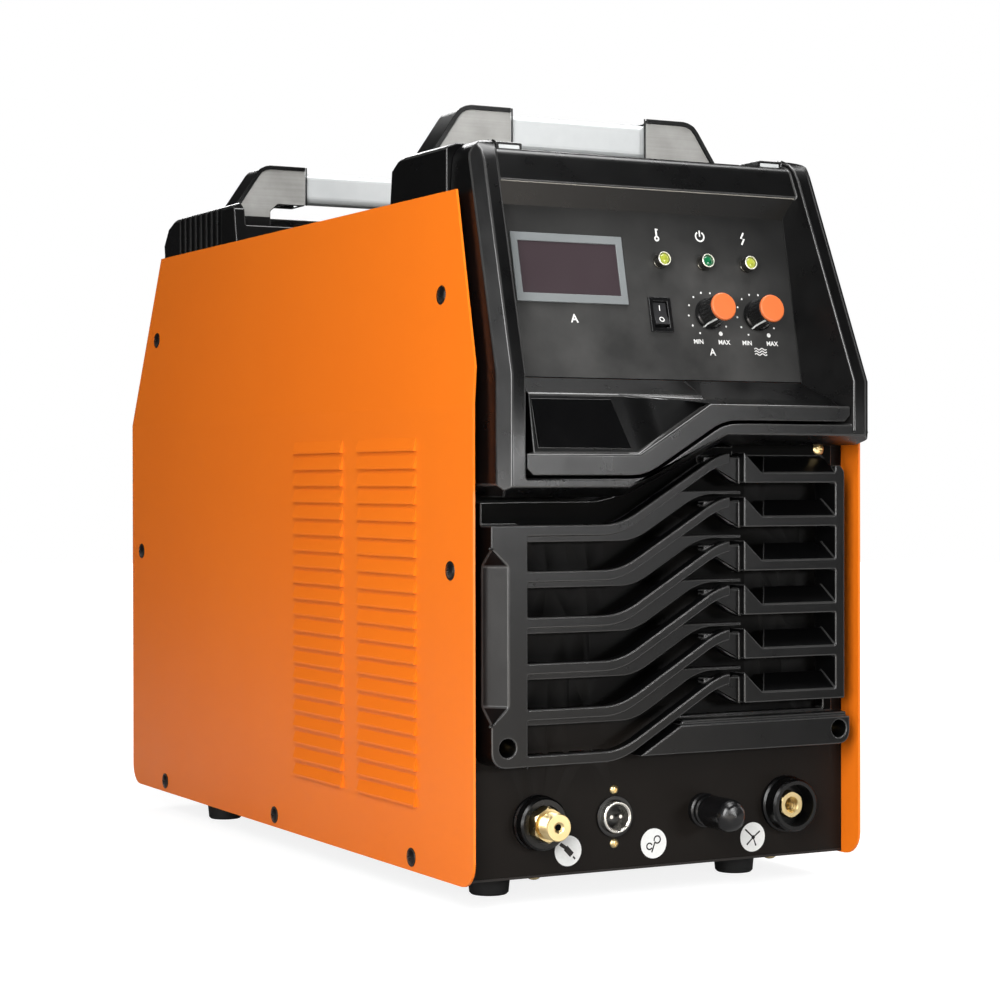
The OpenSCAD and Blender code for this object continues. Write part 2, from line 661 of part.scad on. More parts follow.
module knobs(i) { on_panel(first_knob_x + i*knob_pitch, knob_s) children(); }
cap_t = 2.2;
knob_lift = 0.4;
module knob_body() {
  difference() {
    rotate_extrude() polygon([[0, knob_lift + 4], [3, knob_lift + 4], [3, knob_lift],
      [knob_d/2 - 0.6, knob_lift], [knob_d/2, knob_lift + 0.8], [knob_d/2, knob_lift + 3],
      [knob_d/2 - 1.2, knob_lift + 3.8], [knob_d/2 - 1.5, knob_h - cap_t], [0, knob_h - cap_t]]);
    cylinder(d = shaft_d + 0.06, h = knob_h - cap_t - 3);
    for (a = [0:20:340]) rotate([0, 0, a]) translate([knob_d/2 + 0.2, 0, 5])
      cylinder(d = 1.6, h = knob_h);
  }
  // pointer rib down the flank and over the skirt
  rotate([0, 0, -140]) block([knob_d/2 - 2, -0.5, knob_lift + 1],
    [knob_d/2 + 0.5, 0.5, knob_h - cap_t - 4]);
}
module knob_cap() {
  translate([0, 0, knob_h - cap_t]) rotate_extrude() polygon([[0, 0], [knob_d/2 - 1.2, 0],
    [knob_d/2 - 1.2, cap_t - 0.6], [knob_d/2 - 1.8, cap_t], [0, cap_t]]);
}
module knob_shaft() {
  translate([0, 0, -5]) cylinder(d = shaft_d, h = knob_h - cap_t + 2);
}
module current_knob() color("#161617") placed() knobs(0) knob_body();
module current_knob_cap() color("#f58a4b") placed() knobs(0) knob_cap();
module current_knob_shaft() color("#b9bcc0") placed() knobs(0) knob_shaft();
module purge_knob() color("#161617") placed() knobs(1) knob_body();
module purge_knob_cap() color("#f58a4b") placed() knobs(1) knob_cap();
module purge_knob_shaft() color("#b9bcc0") placed() knobs(1) knob_shaft();

module potentiometers() color("#7c8085") placed() for (i = [0:1]) knobs(i) difference() {
  union() {
    translate([0, 0, -14]) cylinder(d = 16, h = 10);
    translate([0, 0, -4]) cylinder(d = 8, h = 4.2);
    translate([0, 0, -4]) cylinder(d = 11, h = 2, $fn = 6);
  }
  translate([0, 0, -5.2]) cylinder(d = shaft_d + 0.1, h = 8);
}

// ---- air grille ----

function bar_top(i, x) =
  bar_level - i*grille_pitch + wave(x, wave_start, wave_rise, wave_slope, wave_soft);
bar_xs = [grille_left + 18, for (x = [-60:2.5:-26]) x, for (x = [-20:8:12]) x,
  for (x = [16:2.5:34]) x, 36.5];
ribbon_xs = [grille_left + 18, for (x = [-46:3:-10]) x, 0, for (x = [6:3:34]) x, step_x + 3];
function ribbon_low(i, x) = bar_level - i*grille_pitch - 10.3 + wave(x, -27, 27.8, 0.6, 10);
function ribbon_high(i, x) = min(bar_top(i, min(x, 36)) - 3, bar_level - i*grille_pitch + 19.7);

module wave_bar(i) {
  backward(concat([for (x = bar_xs) [x, bar_top(i, x) - bar_face]],
    [for (k = [len(bar_xs)-1:-1:0]) [bar_xs[k], bar_top(i, bar_xs[k])]]), grille_y, grille_y + 9);
}
module wave_ribbon(i) {
  backward(concat([for (x = ribbon_xs) [x, ribbon_low(i, x)]],
    [for (k = [len(ribbon_xs)-1:-1:0]) [ribbon_xs[k], ribbon_high(i, ribbon_xs[k])]]),
    grille_y + 8, grille_y + 17);
}
// Web that carries a wave bar's end back to the step
module wave_web(i) {
  z = bar_level - i*grille_pitch;
  backward([[21.5, z + 37.5], [33, z + 31], [40, z + 26.5], [step_x + 1, z + 23.5],
    [step_x + 1, z + 40], [36, z + 41], [21.5, z + 40.5]], grille_y + 6, grille_y + 14);
}
// Right-hand blade: a pointed front face, a bar and a ledge that rises behind it
module right_blade(i) {
  z = bar_level - i*grille_pitch + 24.5;
  xe = grille_right - 7;
  backward([[step_x, z], [xe + 1, z], [xe + 1, z + bar_face], [step_x + 13.4, z + bar_face],
    [step_x, z + 19]], grille_y, grille_y + 3);
  backward([[step_x, z], [step_x + 2.5, z], [step_x + 2.5, z + 16], [step_x, z + 19]],
    grille_y, grille_y + 17);
  difference() {
    across([[grille_y, z], [grille_y, z + bar_face], [grille_y + 15, z + bar_face + 10],
      [grille_y + 17, z + bar_face + 10], [grille_y + 17, z + 7], [grille_y + 6, z]],
      step_x, xe + 1);
    translate([step_x + 13.4, grille_y, z - 1]) rotate([0, 0, 55])
      block([-60, 0, 0], [100, 60, 30]);
  }
}
// Finger scoop cut into the left flange's outer corner
function scoop_ring(z, d) = [for (p = [[grille_left - 9, grille_y - 8],
  [grille_left + d, grille_y - 1], [grille_left + d, grille_y],
  [grille_left, grille_y + d*1.09], [grille_left - 9, grille_y + d*1.09]]) [p[0], p[1], z]];

module front_grille() color("#19191a") placed() difference() {
  union() {
    // left flange with its round lower corner
    backward(concat([[grille_left, bar_level]], arc(grille_left + 9, 79, 9, 180, 270, 5),
      [[grille_left + 24, 70], [grille_left + 24, bar_level]]), grille_y, front_y - fit_gap);
    for (i = [0:5]) wave_bar(i);
    for (i = [0:4]) wave_ribbon(i);
    for (i = [0:5]) wave_web(i);
    for (i = [0:5]) right_blade(i);
    // right flange
    backward([[grille_right - 7, 101], [grille_right, 101], [grille_right, 243],
      [grille_right - 3, 247], [grille_right - 7, 247]], grille_y, front_y - fit_gap);
    // lower flange, sloped at its left end
    backward(concat([[-27.7, 72.3], [118.6, 72.3]], arc(118.6, 79.9, 7.6, -90, 0, 4),
      [[126.2, 89.5], [1.2, 89.5]]), grille_y, front_y - fit_gap);
    backward([[-2, 86], [126.2, 86], [126.2, 92], [5.2, 92]], grille_y + 4, front_y - fit_gap);
    // back frame with its fixing tab
    back_frame();
  }
  loft([scoop_ring(95.4, 0.1), scoop_ring(105.6, 11.3), scoop_ring(187.6, 11.3),
    scoop_ring(197.8, 0.1)]);
  for (x = [-grille_screw_x, grille_screw_x]) on_front(x, grille_screw_z) {
    translate([0, 0, 3]) cylinder(d = 11, h = 40);
    translate([0, 0, -2]) cylinder(d = 4.4, h = 10);
  }
  on_front(tab_screw_x, tab_screw_z) translate([0, 0, -2]) cylinder(d = 4.4, h = 20);
}

module back_frame() {
  yb = front_y - fit_gap;
  y0 = front_y - tab_t;
  top = [for (x = [-100:10:90]) [x, min(bar_top(0, x) + 14, low_edge(x) - 1)]];
  difference() {
    backward(concat([[grille_left, 80], [grille_right, 80], [grille_right, 261]],
      [for (k = [len(top)-1:-1:0]) top[k]], [[grille_left, 225]]), y0, yb);
    backward(concat([[grille_left + 22, 76], [-25, 76], [2, 94], [grille_right - 7, 94],
      [grille_right - 7, 253], [step_x + 2, 253]],
      [for (x = [40:-10:-100]) [x, bar_top(0, min(x, 34)) - 2]]), y0 - 1, yb + 1);
  }
  backward([[step_x, tab_top - 9.5], [grille_right, tab_top - 9.5], [grille_right, tab_top],
    [step_x, tab_top]], y0, yb);
}

// ---- front connections ----

module torch_insulator() color("#101011") placed() on_front(torch_x, socket_h) difference() {
  union() {
    rotate_extrude() polygon([[0, 0], [16.6, 0], [16.6, 2], [15.8, 3], [15.8, 9], [14.6, 10.2],
      [0, 10.2]]);
    translate([0, 0, -8]) cylinder(d = 21.6, h = 9);
  }
  translate([0, 0, -9]) cylinder(d = 12.1, h = 30);
  translate([0, 0, 7]) cylinder(d = 23, h = 10);
}
module torch_fitting() color("#c9a24f") placed() on_front(torch_x, socket_h) difference() {
  union() {
    translate([0, 0, 7]) cylinder(d = 22, h = 9, $fn = 6);
    translate([0, 0, -24]) cylinder(d = 12, h = 32);
    translate([0, 0, 15]) cylinder(d = torch_thread_d, h = 12);
  }
  translate([0, 0, -25]) cylinder(d = 5, h = 60);
  translate([0, 0, 23.6]) rotate_extrude() polygon([[0, 0], [2.4, 0], [5.9, 3.5], [0, 3.5]]);
}

module trigger_socket_shell() color("#b8bbbd") placed() on_front(trigger_x, socket_h)
  difference() {
    union() {
      cylinder(d = 25, h = 1.6);
      cylinder(d = 19.6, h = 5);
      translate([0, 0, -14]) cylinder(d = 16, h = 16);
    }
    translate([0, 0, -15]) cylinder(d = 15.2, h = 40);
    translate([0, 7.6, 3]) cube([2.4, 3, 8], center = true);
  }
module trigger_socket_insert() color("#111112") placed() on_front(trigger_x, socket_h)
  translate([0, 0, -13]) cylinder(d = 15.1, h = 7);
module trigger_socket_pins() color("#cfd1d2") placed() on_front(trigger_x, socket_h)
  for (s = [-1, 1]) translate([s*3.2, 0, -6]) cylinder(d = 2.2, h = 8.5);

module pilot_terminal_base() color("#141415") placed() on_front(pilot_x, socket_h) difference() {
  rotate_extrude() polygon([[0, -8], [5.8, -8], [5.8, 0], [10.5, 0], [10.5, 3.4], [9.4, 4.2],
    [9.4, 7], [8.4, 7.6], [8.4, 11], [0, 11]]);
  translate([0, 0, -9]) cylinder(d = 6.06, h = 30);
}
module pilot_terminal_pin() color("#c9a24f") placed() on_front(pilot_x, socket_h)
  translate([0, 0, -16]) cylinder(d = 6, h = 45);
module pilot_terminal_cap() color("#141415") placed() on_front(pilot_x, socket_h) difference() {
  r = pilot_cap_d/2;
  rotate_extrude() polygon(concat([[0, 11.4], [r - 0.8, 11.4], [r, 12.2], [r, 30]],
    [for (a = [10:10:60]) [r - 8 + 8*cos(a), 30 + 8*sin(a)]], [[0, 38]]));
  translate([0, 0, 10]) cylinder(d = 6.6, h = 20);
}

module work_socket_housing() color("#131314") placed() on_front(work_x, socket_h) difference() {
  r = work_ring_d/2;
  union() {
    rotate_extrude() polygon([[0, 0], [r + 1.2, 0], [r + 1.2, 2.4], [r, 3.4], [r, 11.6],
      [r - 1.2, 13], [0, 13]]);
    translate([0, 0, -20]) cylinder(d = 23.6, h = 21);
  }
  translate([0, 0, 2]) cylinder(r = r - 3.4, h = 20);
  translate([0, 0, -21]) cylinder(d = 14.1, h = 40);
}
module work_socket_insert() color("#c08f3a") placed() on_front(work_x, socket_h) difference() {
  union() {
    translate([0, 0, 2]) cylinder(d = 17, h = 6, $fn = 6);
    translate([0, 0, -30]) cylinder(d = 14, h = 36);
  }
  translate([0, 0, -14]) cylinder(d = work_bore_d, h = 40);
}

// ---- feet and fasteners ----

module rubber_feet() color("#151515") placed()
  for (p = foot_places)
    translate([p[0], p[1], tray_h]) mirror([0, 0, 1]) difference() {
      rotate_extrude() polygon([[0, 0], [foot_r, 0], [foot_r - 0.6, 4], [foot_r - 1.8, foot_h - 1.2],
        [foot_r - 3, foot_h], [0, foot_h]]);
      translate([0, 0, -1]) cylinder(d = 5.3, h = foot_h + 3);
      translate([0, 0, 7]) cylinder(d = 11, h = foot_h);
    }

module foot_screws() color("#c9a24f") placed()
  for (p = foot_places) translate([p[0], p[1], 0]) {
    translate([0, 0, tray_h - 7]) cylinder(d = 5, h = 14);
    translate([0, 0, tray_h - 10]) cylinder(d = 9.6, h = 3);
  }

// Round-headed screw along +z, its head's underside at z = 0
module pan_screw(d, l) {
  translate([0, 0, -l]) cylinder(d = d, h = l);
  difference() {
    rotate_extrude() polygon(concat([[0, 0], [d*1.02, 0]],
      [for (a = [15:15:90]) [d*1.02*cos(a), d*0.55*sin(a)]]));
    for (a = [0, 90]) rotate([0, 0, a]) translate([0, 0, d*0.55]) cube([d, 0.8, 1.6], center = true);
  }
}
module side_panel_screws() color("#171516") placed() both_sides()
  translate([half_w - sheet_t, 0, 0]) {
    at_side_screws(false) translate([sheet_t, 0, 0]) rotate([0, 90, 0]) pan_screw(3.5, 6);
    leaning() at_side_screws(true) translate([sheet_t, 0, 0]) rotate([0, 90, 0]) pan_screw(3.5, 8);
  }
module front_screws() color("#c9a24f") placed() {
  for (s = [-1, 1]) on_front(trigger_x, socket_h + s*16.3) pan_screw(2.9, 6);
  on_front(tab_screw_x, tab_screw_z) translate([0, 0, tab_t]) pan_screw(4, 14);
  for (x = [-grille_screw_x, grille_screw_x]) on_front(x, grille_screw_z)
    translate([0, 0, 3]) pan_screw(4, 8);
  for (x = [-base_screw_x, base_screw_x]) translate([x, base_screw_y, tray_h])
    mirror([0, 0, 1]) pan_screw(4, 7);
}

// ---- top mouldings and handles ----

rail_in = cap_x - 40;
well_w = cap_x - 8.5;
// Cuts that round a cap's long upper edges
module edge_cuts(y0, y1, top) {
  both_sides() for (cut = [[7, 20], [3, 48]])
    translate([cap_x - cut[0], y0, top]) rotate([0, cut[1], 0])
      block([0, 0, 0], [60, y1 - y0, 30]);
}

front_cap_y = seam_y + 0.4;
front_cap_end = 134.3;
module front_top_cap() color("#1b1b1c") placed() difference() {
  union() {
    across([[front_cap_y, deck_h], [front_cap_end, deck_h], [front_cap_end - 3, hood_top - 9],
      [front_cap_end - 12, hood_top - 4], [front_cap_end - 30, hood_top], [front_cap_y, hood_top]],
      -cap_x, cap_x);
    block([-well_w, front_cap_y, deck_h], [well_w, front_handle_y + bracket_t + 8, well_h]);
  }
  // well for the hand, between the rails
  backward([[-rail_in, well_h], [rail_in, well_h], [rail_in, hood_top + 9], [-rail_in, hood_top + 9]],
    front_cap_y + 14, 300);
  backward([[-well_w, well_h], [well_w, well_h], [well_w, hood_top + 9],
    [-well_w, hood_top + 9]], front_handle_y - 6, 300);
  backward([[-rail_in, hood_top - 3], [rail_in, hood_top - 3], [rail_in, hood_top + 9],
    [-rail_in, hood_top + 9]], front_cap_y - 1, front_cap_y + 20);
  edge_cuts(front_cap_y - 1, front_cap_end + 1, hood_top);
}

rear_cap_front = case_d - 193.6;
rear_cap_end = case_d - 41;
rear_cap_top = hood_top - 0.2;
rear_foot_z = rear_bend_h - 7;
// An outline carried across between the leaning side panels
module between_sides(outline) {
  difference() {
    across(outline, -inner_w, inner_w);
    both_sides() translate([half_w - sheet_t, 0, 0]) leaning()
      block([-0.6, rear_cap_front, rear_foot_z - 60], [60, case_d + 60, hood_top + 60]);
  }
}

module rear_top_cap() color("#1b1b1c") placed() difference() {
  union() {
    across([[rear_cap_front, deck_h], [rear_cap_end - 4, deck_h], [rear_cap_end - 2, rear_cap_top - 20],
      [rear_cap_end - 12, rear_cap_top - 8], [rear_cap_end - 34, rear_cap_top],
      [rear_cap_front + 12, rear_cap_top], [rear_cap_front + 5, rear_cap_top - 5]], -cap_x, cap_x);
    // leaning rear face between the side panels
    between_sides([[rear_cap_end - 8, deck_h + 2], [rear_cap_end - 4, deck_h + 2],
      [case_d + 4, rear_bend_h + 1], [case_d + 4, rear_foot_z], [rear_y - 18, rear_foot_z],
      [rear_y - 18, rear_bend_h], [rear_cap_end - 22, deck_h - 14], [rear_cap_end - 22, deck_h + 2]]);
  }
  upper_screw_holes();
  // hollow inside and well for the hand on top
  across([[rear_cap_end - 26, deck_h - 6], [rear_cap_end - 8, deck_h - 1], [case_d - 2, rear_bend_h + 1],
    [case_d - 2, rear_foot_z - 1], [rear_y - 20, rear_foot_z - 1], [rear_y - 20, rear_bend_h - 6]],
    -top_w + 4, top_w - 4);
  backward([[-well_w, well_h], [well_w, well_h], [well_w, hood_top + 9],
    [-well_w, hood_top + 9]], rear_cap_front - 1, rear_handle_y + bracket_t + 20);
  edge_cuts(rear_cap_front - 1, rear_cap_end + 1, rear_cap_top);
  // flutes down the flanks
  both_sides() for (y = [rear_cap_front + 34:11:rear_cap_end - 40])
    translate([cap_x + 5, y, deck_h + 2]) cylinder(r = 6.4, h = 60);
}

// Left bracket seen from the front, (x, z) from the handle's top edge
bracket_face = concat(
  [[-bar_half - 1.5, -28.4], [-bar_half - 1.5, 0], [-bar_half - 30, 0]],
  [[-bar_half - 34, -0.9], [-bar_half - 37.7, -2.6], [-bar_half - 40.3, -5.6],
   [-well_w + 6.8, -38.2], [-well_w + 5, -44], [-well_w + 5, well_h - handle_top],
   [-bar_half - 29.4, well_h - handle_top], [-bar_half - 29.4, -33.5], [-bar_half - 23, -28.4]]);

module bracket(y) {
  difference() {
    translate([0, 0, handle_top]) backward(bracket_face, y, y + bracket_t);
    // ribbed hollow along the sloping outer flank
    translate([-bar_half - 40.3, y, handle_top - 5.6]) rotate([0, -34.5, 0])
      for (i = [0:3]) block([-1 - 8, 3, -11 - i*9.4], [60, bracket_t - 3, -3.8 - i*9.4]);
    // seat of the grip bar
    block([-bar_half - 14, y + (bracket_t - bar_t)/2 - 0.02, handle_top - 2.8 - bar_h - 0.02],
      [0, y + (bracket_t + bar_t)/2 + 0.02, handle_top - 2.8 + 0.02]);
  }
}
module grip_bar(y) {
  r = 5;
  yc = y + bracket_t/2;
  z0 = handle_top - 2.8 - bar_h;
  difference() {
    across(concat(arc(yc - bar_t/2 + r, z0 + r, r, 180, 270, 5), arc(yc + bar_t/2 - r, z0 + r, r, 270, 360, 5),
      arc(yc + bar_t/2 - r, z0 + bar_h - r, r, 0, 90, 5), arc(yc - bar_t/2 + r, z0 + bar_h - r, r, 90, 180, 5)),
      -bar_half - 14, bar_half + 14);
    block([-bar_half - 20, yc - bar_t/2 + 2.5, z0 + 5], [bar_half + 20, yc + bar_t/2 - 2.5, z0 + bar_h - 5]);
  }
}
module front_handle_brackets() color("#2b2b2c") placed() both_sides() bracket(front_handle_y);
module front_handle_bar() color("#c4c9cb") placed() grip_bar(front_handle_y);
module rear_handle_brackets() color("#2b2b2c") placed() both_sides() bracket(rear_handle_y);
module rear_handle_bar() color("#c4c9cb") placed() grip_bar(rear_handle_y);

// ---- rear side ----

fan_back = rear_y - sheet_t;
fan_pin_d = 5;
module on_fan() { translate([0, fan_back - fan_t, fan_z]) rotate([-90, 0, 0]) children(); }
module fan_frame() color("#1a1a1a") placed() on_fan() {
  h = fan_size/2;
  difference() {
    block([-h, -h, 0], [h, h, fan_t]);
    translate([0, 0, -1]) cylinder(d = fan_d, h = fan_t + 2, $fn = 72);
    for (x = [-52.5, 52.5], z = [-52.5, 52.5]) translate([x, z, -1]) cylinder(d = 4.3, h = fan_t + 2);
  }
  // motor plate on its struts, with the pin that carries the rotor
  cylinder(d = 40, h = 3);
  for (a = [45:90:315]) rotate([0, 0, a]) block([15, -2.5, 0], [fan_d/2 + 2, 2.5, 3]);
  translate([0, 0, 2]) cylinder(d = fan_pin_d, h = 16);
}
module fan_rotor() color("#222222") placed() on_fan() difference() {
  union() {
    translate([0, 0, 3.5]) cylinder(d = 40, h = 17);
    for (a = [0:40:320]) rotate([0, 0, a]) translate([0, 0, 12.5]) rotate([35, 0, 0])
      block([16, -10, -0.9], [fan_d/2 - 2.5, 10, 0.9]);
  }
  translate([0, 0, 3]) cylinder(d = fan_pin_d + 0.1, h = 15.5);
}

module mains_switch_body() color("#1a1a1c") placed() on_rear(switch_x, switch_z) difference() {
  union() {
    block([-19, -12, 0], [19, 12, 2.4]);
    block([-16, -9, -30], [16, 9, 1]);
  }
  block([-12.4, -6.4, -14], [12.4, 6.4, 5]);
  translate([0, 0, -4]) rotate([90, 0, 0]) cylinder(d = pivot_d + 0.1, h = 16.4, center = true);
}
module mains_switch_toggle() color("#303033") placed() on_rear(switch_x, switch_z)
  translate([0, 0, -4]) rotate([0, rocker_tilt, 0]) rotate([90, 0, 0]) {
    linear_extrude(12, center = true) polygon([[-5, -5], [5, -5], [10.6, 0.5], [11, 6.6], [0, 5],
      [-11, 6.6], [-10.6, 0.5]]);
    cylinder(d = pivot_d, h = 16, center = true);
  }

module cable_gland() color("#202022") placed() on_rear(gland_x, gland_z) difference() {
  union() {
    translate([0, 0, -12]) cylinder(d = 20, h = 14);
    cylinder(d = 27, h = 6, $fn = 6);
    translate([0, 0, 5]) cylinder(d = 20, h = 7);
    rotate_extrude() polygon([[0, 10], [12.6, 10], [12.6, 17], [11, 22], [8.6, 25], [0, 25]]);
    translate([0, 0, -9]) cylinder(d = 26, h = 7.5, $fn = 6);
  }
  translate([0, 0, -13]) cylinder(d = gland_bore_d, h = 50);
}

module air_inlet() color("#c9a24f") placed() on_rear(inlet_x, socket_h) difference() {
  union() {
    cylinder(d = 19, h = 6, $fn = 6);
    translate([0, 0, -22]) cylinder(d = 13, h = 23);
    translate([0, 0, 5]) cylinder(d = 9.6, h = 22);
    for (i = [0:2]) translate([0, 0, 12 + i*4.6]) rotate_extrude()
      polygon([[0, 0], [5.6, 0], [4.8, 3.4], [0, 3.4]]);
    translate([0, 0, -7]) cylinder(d = 19, h = 5.5, $fn = 6);
  }
  translate([0, 0, -23]) cylinder(d = 5, h = 60);
}

module earth_stud() color("#c9a24f") placed() on_rear(earth_x, gland_z) {
  translate([0, 0, -10]) cylinder(d = 8, h = 28);
  translate([0, 0, 0]) cylinder(d = 16, h = 1.6);
  translate([0, 0, 1.6]) cylinder(d = 14, h = 6, $fn = 6);
  translate([0, 0, -7.5]) cylinder(d = 14, h = 6, $fn = 6);
}

// ---- inside ----

module transformer_core() color("#3b3532") placed() difference() {
  block([-30, 300, floor_h], [50, 360, floor_h + 70]);
  block([-18, 299, floor_h + 14], [38, 361, floor_h + 56]);
}
module transformer_winding() color("#a8602c") placed() difference() {
  block([-17.8, 290, floor_h + 14.2], [37.8, 370, floor_h + 55.8]);
  block([-12, 291, floor_h + 22], [32, 369, floor_h + 48]);
}
module output_choke() color("#8a4b22") placed() translate([10, 200, floor_h]) difference() {
  cylinder(d = 80, h = 36);
  translate([0, 0, -1]) cylinder(d = 36, h = 40);
}
heatsink_y = [180, 400];
module heatsink() color("#a9adb0") placed() {
  z = 150;
  block([-70, heatsink_y[0], z], [70, heatsink_y[1], z + 6]);
  for (x = [-68:11:64]) block([x, heatsink_y[0], z - 38], [x + 2.4, heatsink_y[1], z + 0.5]);
  both_sides() block([70, heatsink_y[0], floor_h], [73, heatsink_y[1], z + 6]);
}
module power_board() color("#1f5a34") placed() {
  block([-70, 170, 164], [70, 410, 166]);
  for (x = [-60, 60], y = [185, 395]) translate([x, y, 156]) cylinder(d = 6, h = 8);
  for (x = [-40, 0, 40]) translate([x, 220, 166]) cylinder(d = 35, h = 50);
}
module control_board() color("#1f5a34") placed() {
  on_panel(12, 55) block([-30, -34, -22], [85, 34, -20.4]);
  for (x = [-25, 80], s = [-30, 30]) on_panel(12 + x, 55 + s) translate([0, 0, -20.4])
    translate([0, 0, -0.5]) cylinder(d = 5, h = 18.9);
}
module air_valve() color("#9b9fa3") placed() {
  block([torch_x - 15, valve_y, floor_h], [torch_x + 15, valve_y + 30, socket_h + 14]);
  translate([torch_x, valve_y + 15, socket_h + 14]) cylinder(d = 26, h = 34);
}
hose_d = 11;
module air_hose() color("#2f3d55") placed() {
  rod = front_y + 24;
  translate([torch_x, rod, socket_h]) rotate([-90, 0, 0]) cylinder(d = hose_d, h = valve_y - rod);
  translate([torch_x, valve_y + 30, socket_h]) rotate([-90, 0, 0])
    cylinder(d = hose_d, h = rear_y - 22 - valve_y - 30);
}

base_tray();
front_plate();
rear_plate();
top_cover();
left_side_panel();
right_side_panel();
front_hood();
front_top_cap();
rear_top_cap();
control_panel();
chin_moulding();
badge_plate();
display_bezel();
display_window();
lamp_bezels();
yellow_lamp_lenses();
green_lamp_lens();
purge_switch_body();
purge_switch_rocker();
current_knob();
current_knob_cap();
current_knob_shaft();
purge_knob();
purge_knob_cap();
purge_knob_shaft();
potentiometers();
front_grille();
torch_insulator();
torch_fitting();
trigger_socket_shell();
trigger_socket_insert();
trigger_socket_pins();
pilot_terminal_base();
pilot_terminal_pin();
pilot_terminal_cap();
work_socket_housing();
work_socket_insert();
rubber_feet();
foot_screws();
side_panel_screws();
front_screws();
front_handle_brackets();
front_handle_bar();
rear_handle_brackets();
rear_handle_bar();
fan_frame();
fan_rotor();
mains_switch_body();
mains_switch_toggle();
cable_gland();
air_inlet();
earth_stud();
transformer_core();
transformer_winding();
output_choke();
heatsink();
power_board();
control_board();
air_valve();
air_hose();
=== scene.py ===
# %% [markdown]
# # Dressing an upright plasma cutter
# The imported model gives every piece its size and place. This lesson gives each piece
# its finish, rounds the edges that a tool or a press would round, and adds the turned,
# threaded and printed pieces that are too fine for the structure.

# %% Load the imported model
import json
import math
from contextlib import contextmanager

import bmesh
import bpy
import numpy as np
from mathutils import Matrix, Vector


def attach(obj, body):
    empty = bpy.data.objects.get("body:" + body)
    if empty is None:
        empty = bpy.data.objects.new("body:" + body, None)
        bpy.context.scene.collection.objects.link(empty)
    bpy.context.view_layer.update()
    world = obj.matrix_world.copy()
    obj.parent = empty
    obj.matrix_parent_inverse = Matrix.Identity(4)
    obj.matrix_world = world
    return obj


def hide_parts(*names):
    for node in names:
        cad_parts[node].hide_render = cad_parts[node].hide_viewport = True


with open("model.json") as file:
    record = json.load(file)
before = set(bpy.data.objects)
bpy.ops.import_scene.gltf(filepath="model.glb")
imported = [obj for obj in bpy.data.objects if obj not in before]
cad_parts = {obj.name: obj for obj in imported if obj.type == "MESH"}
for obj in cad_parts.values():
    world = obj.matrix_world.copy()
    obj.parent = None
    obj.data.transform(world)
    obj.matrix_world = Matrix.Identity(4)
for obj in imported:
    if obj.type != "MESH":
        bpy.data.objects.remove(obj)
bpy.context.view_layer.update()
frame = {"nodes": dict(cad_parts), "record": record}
bodies = frame["record"]["behaviour"]["bodies"]
body_of_node = {node: body for body, nodes in bodies.items() for node in nodes}
slot_of_node = {row["node"]: row["material_slot"] for row in frame["record"]["subparts"]}

# %% [markdown]
# ## Where things are
# The drawings of this unit measure from the side sheets: across from the middle, back
# from their front edge and up from their lower edge, in millimetres. One shift brings
# such a place into the model's frame. The control panel leans back and its fittings
# stand square to it, so a piece is built on a seat, a small frame of its own: that way a
# knob is drawn upright once and the seat turns it.

# %% Places and seats
SHIFT = np.array([0.0, -285.15, 16.0])


def in_metres(points):
    """The drawing's place plus the shift, divided by a thousand."""
    return (np.asarray(points, float) + SHIFT) * 0.001


class Seat:
    """A frame to build on: its origin, and the directions across, up and out of the face."""

    def __init__(self, origin, across, up, out):
        self.origin = np.array(origin, float)
        self.axes = np.array([across, up, out], float)

    def at(self, local):
        """Origin plus x times across, y times up and z times out, brought into metres."""
        return in_metres(self.origin + np.asarray(local, float) @ self.axes)

    def moved(self, x, y):
        """The same directions from the point x across and y up the face."""
        return Seat(self.origin + np.array([x, y, 0.0]) @ self.axes, *self.axes)


def leaning(origin, lean_deg):
    """A seat on a face that leans back: up is (0, sin, cos), out is (0, -cos, sin)."""
    lean = math.radians(lean_deg)
    sine, cosine = math.sin(lean), math.cos(lean)
    return Seat(origin, [1, 0, 0], [0, sine, cosine], [0, -cosine, sine])


print("the drawings' zero lies at", in_metres([0, 0, 0]).round(4))


# %% Seats on the panel and on the front plate
PANEL_FOOT, PANEL_LEAN = [0.0, 9.7, 298.8], 12.6
FRONT_Y, SOCKET_H = 18.0, 34.0

panel_seat = leaning(PANEL_FOOT, PANEL_LEAN)


def on_front(x, z):
    """A seat on the upright front plate."""
    return leaning([x, FRONT_Y, z], 0.0)


print("panel's foot is at", panel_seat.at([0, 0, 0]).round(4))

# %% [markdown]
# ## The camera
# It stands a metre and a half away, 28 degrees to the left of the front and hardly
# above the level of the case's middle, with a long lens, so that upright edges stay
# upright and the far side shrinks only a little. A Track To constraint could aim it,
# but a turn worked out from three angles stays put and can carry the slight roll.

# %% Camera
AZIMUTH, ELEVATION, ROLL = (math.radians(angle) for angle in (-28.08, 0.39, -0.10))
CAMERA_PLACE = [-781.6, -1239.8, 236.5]
FOCAL_PX, IMAGE_PX, SENSOR_MM = 2414.0, 1000.0, 36.0

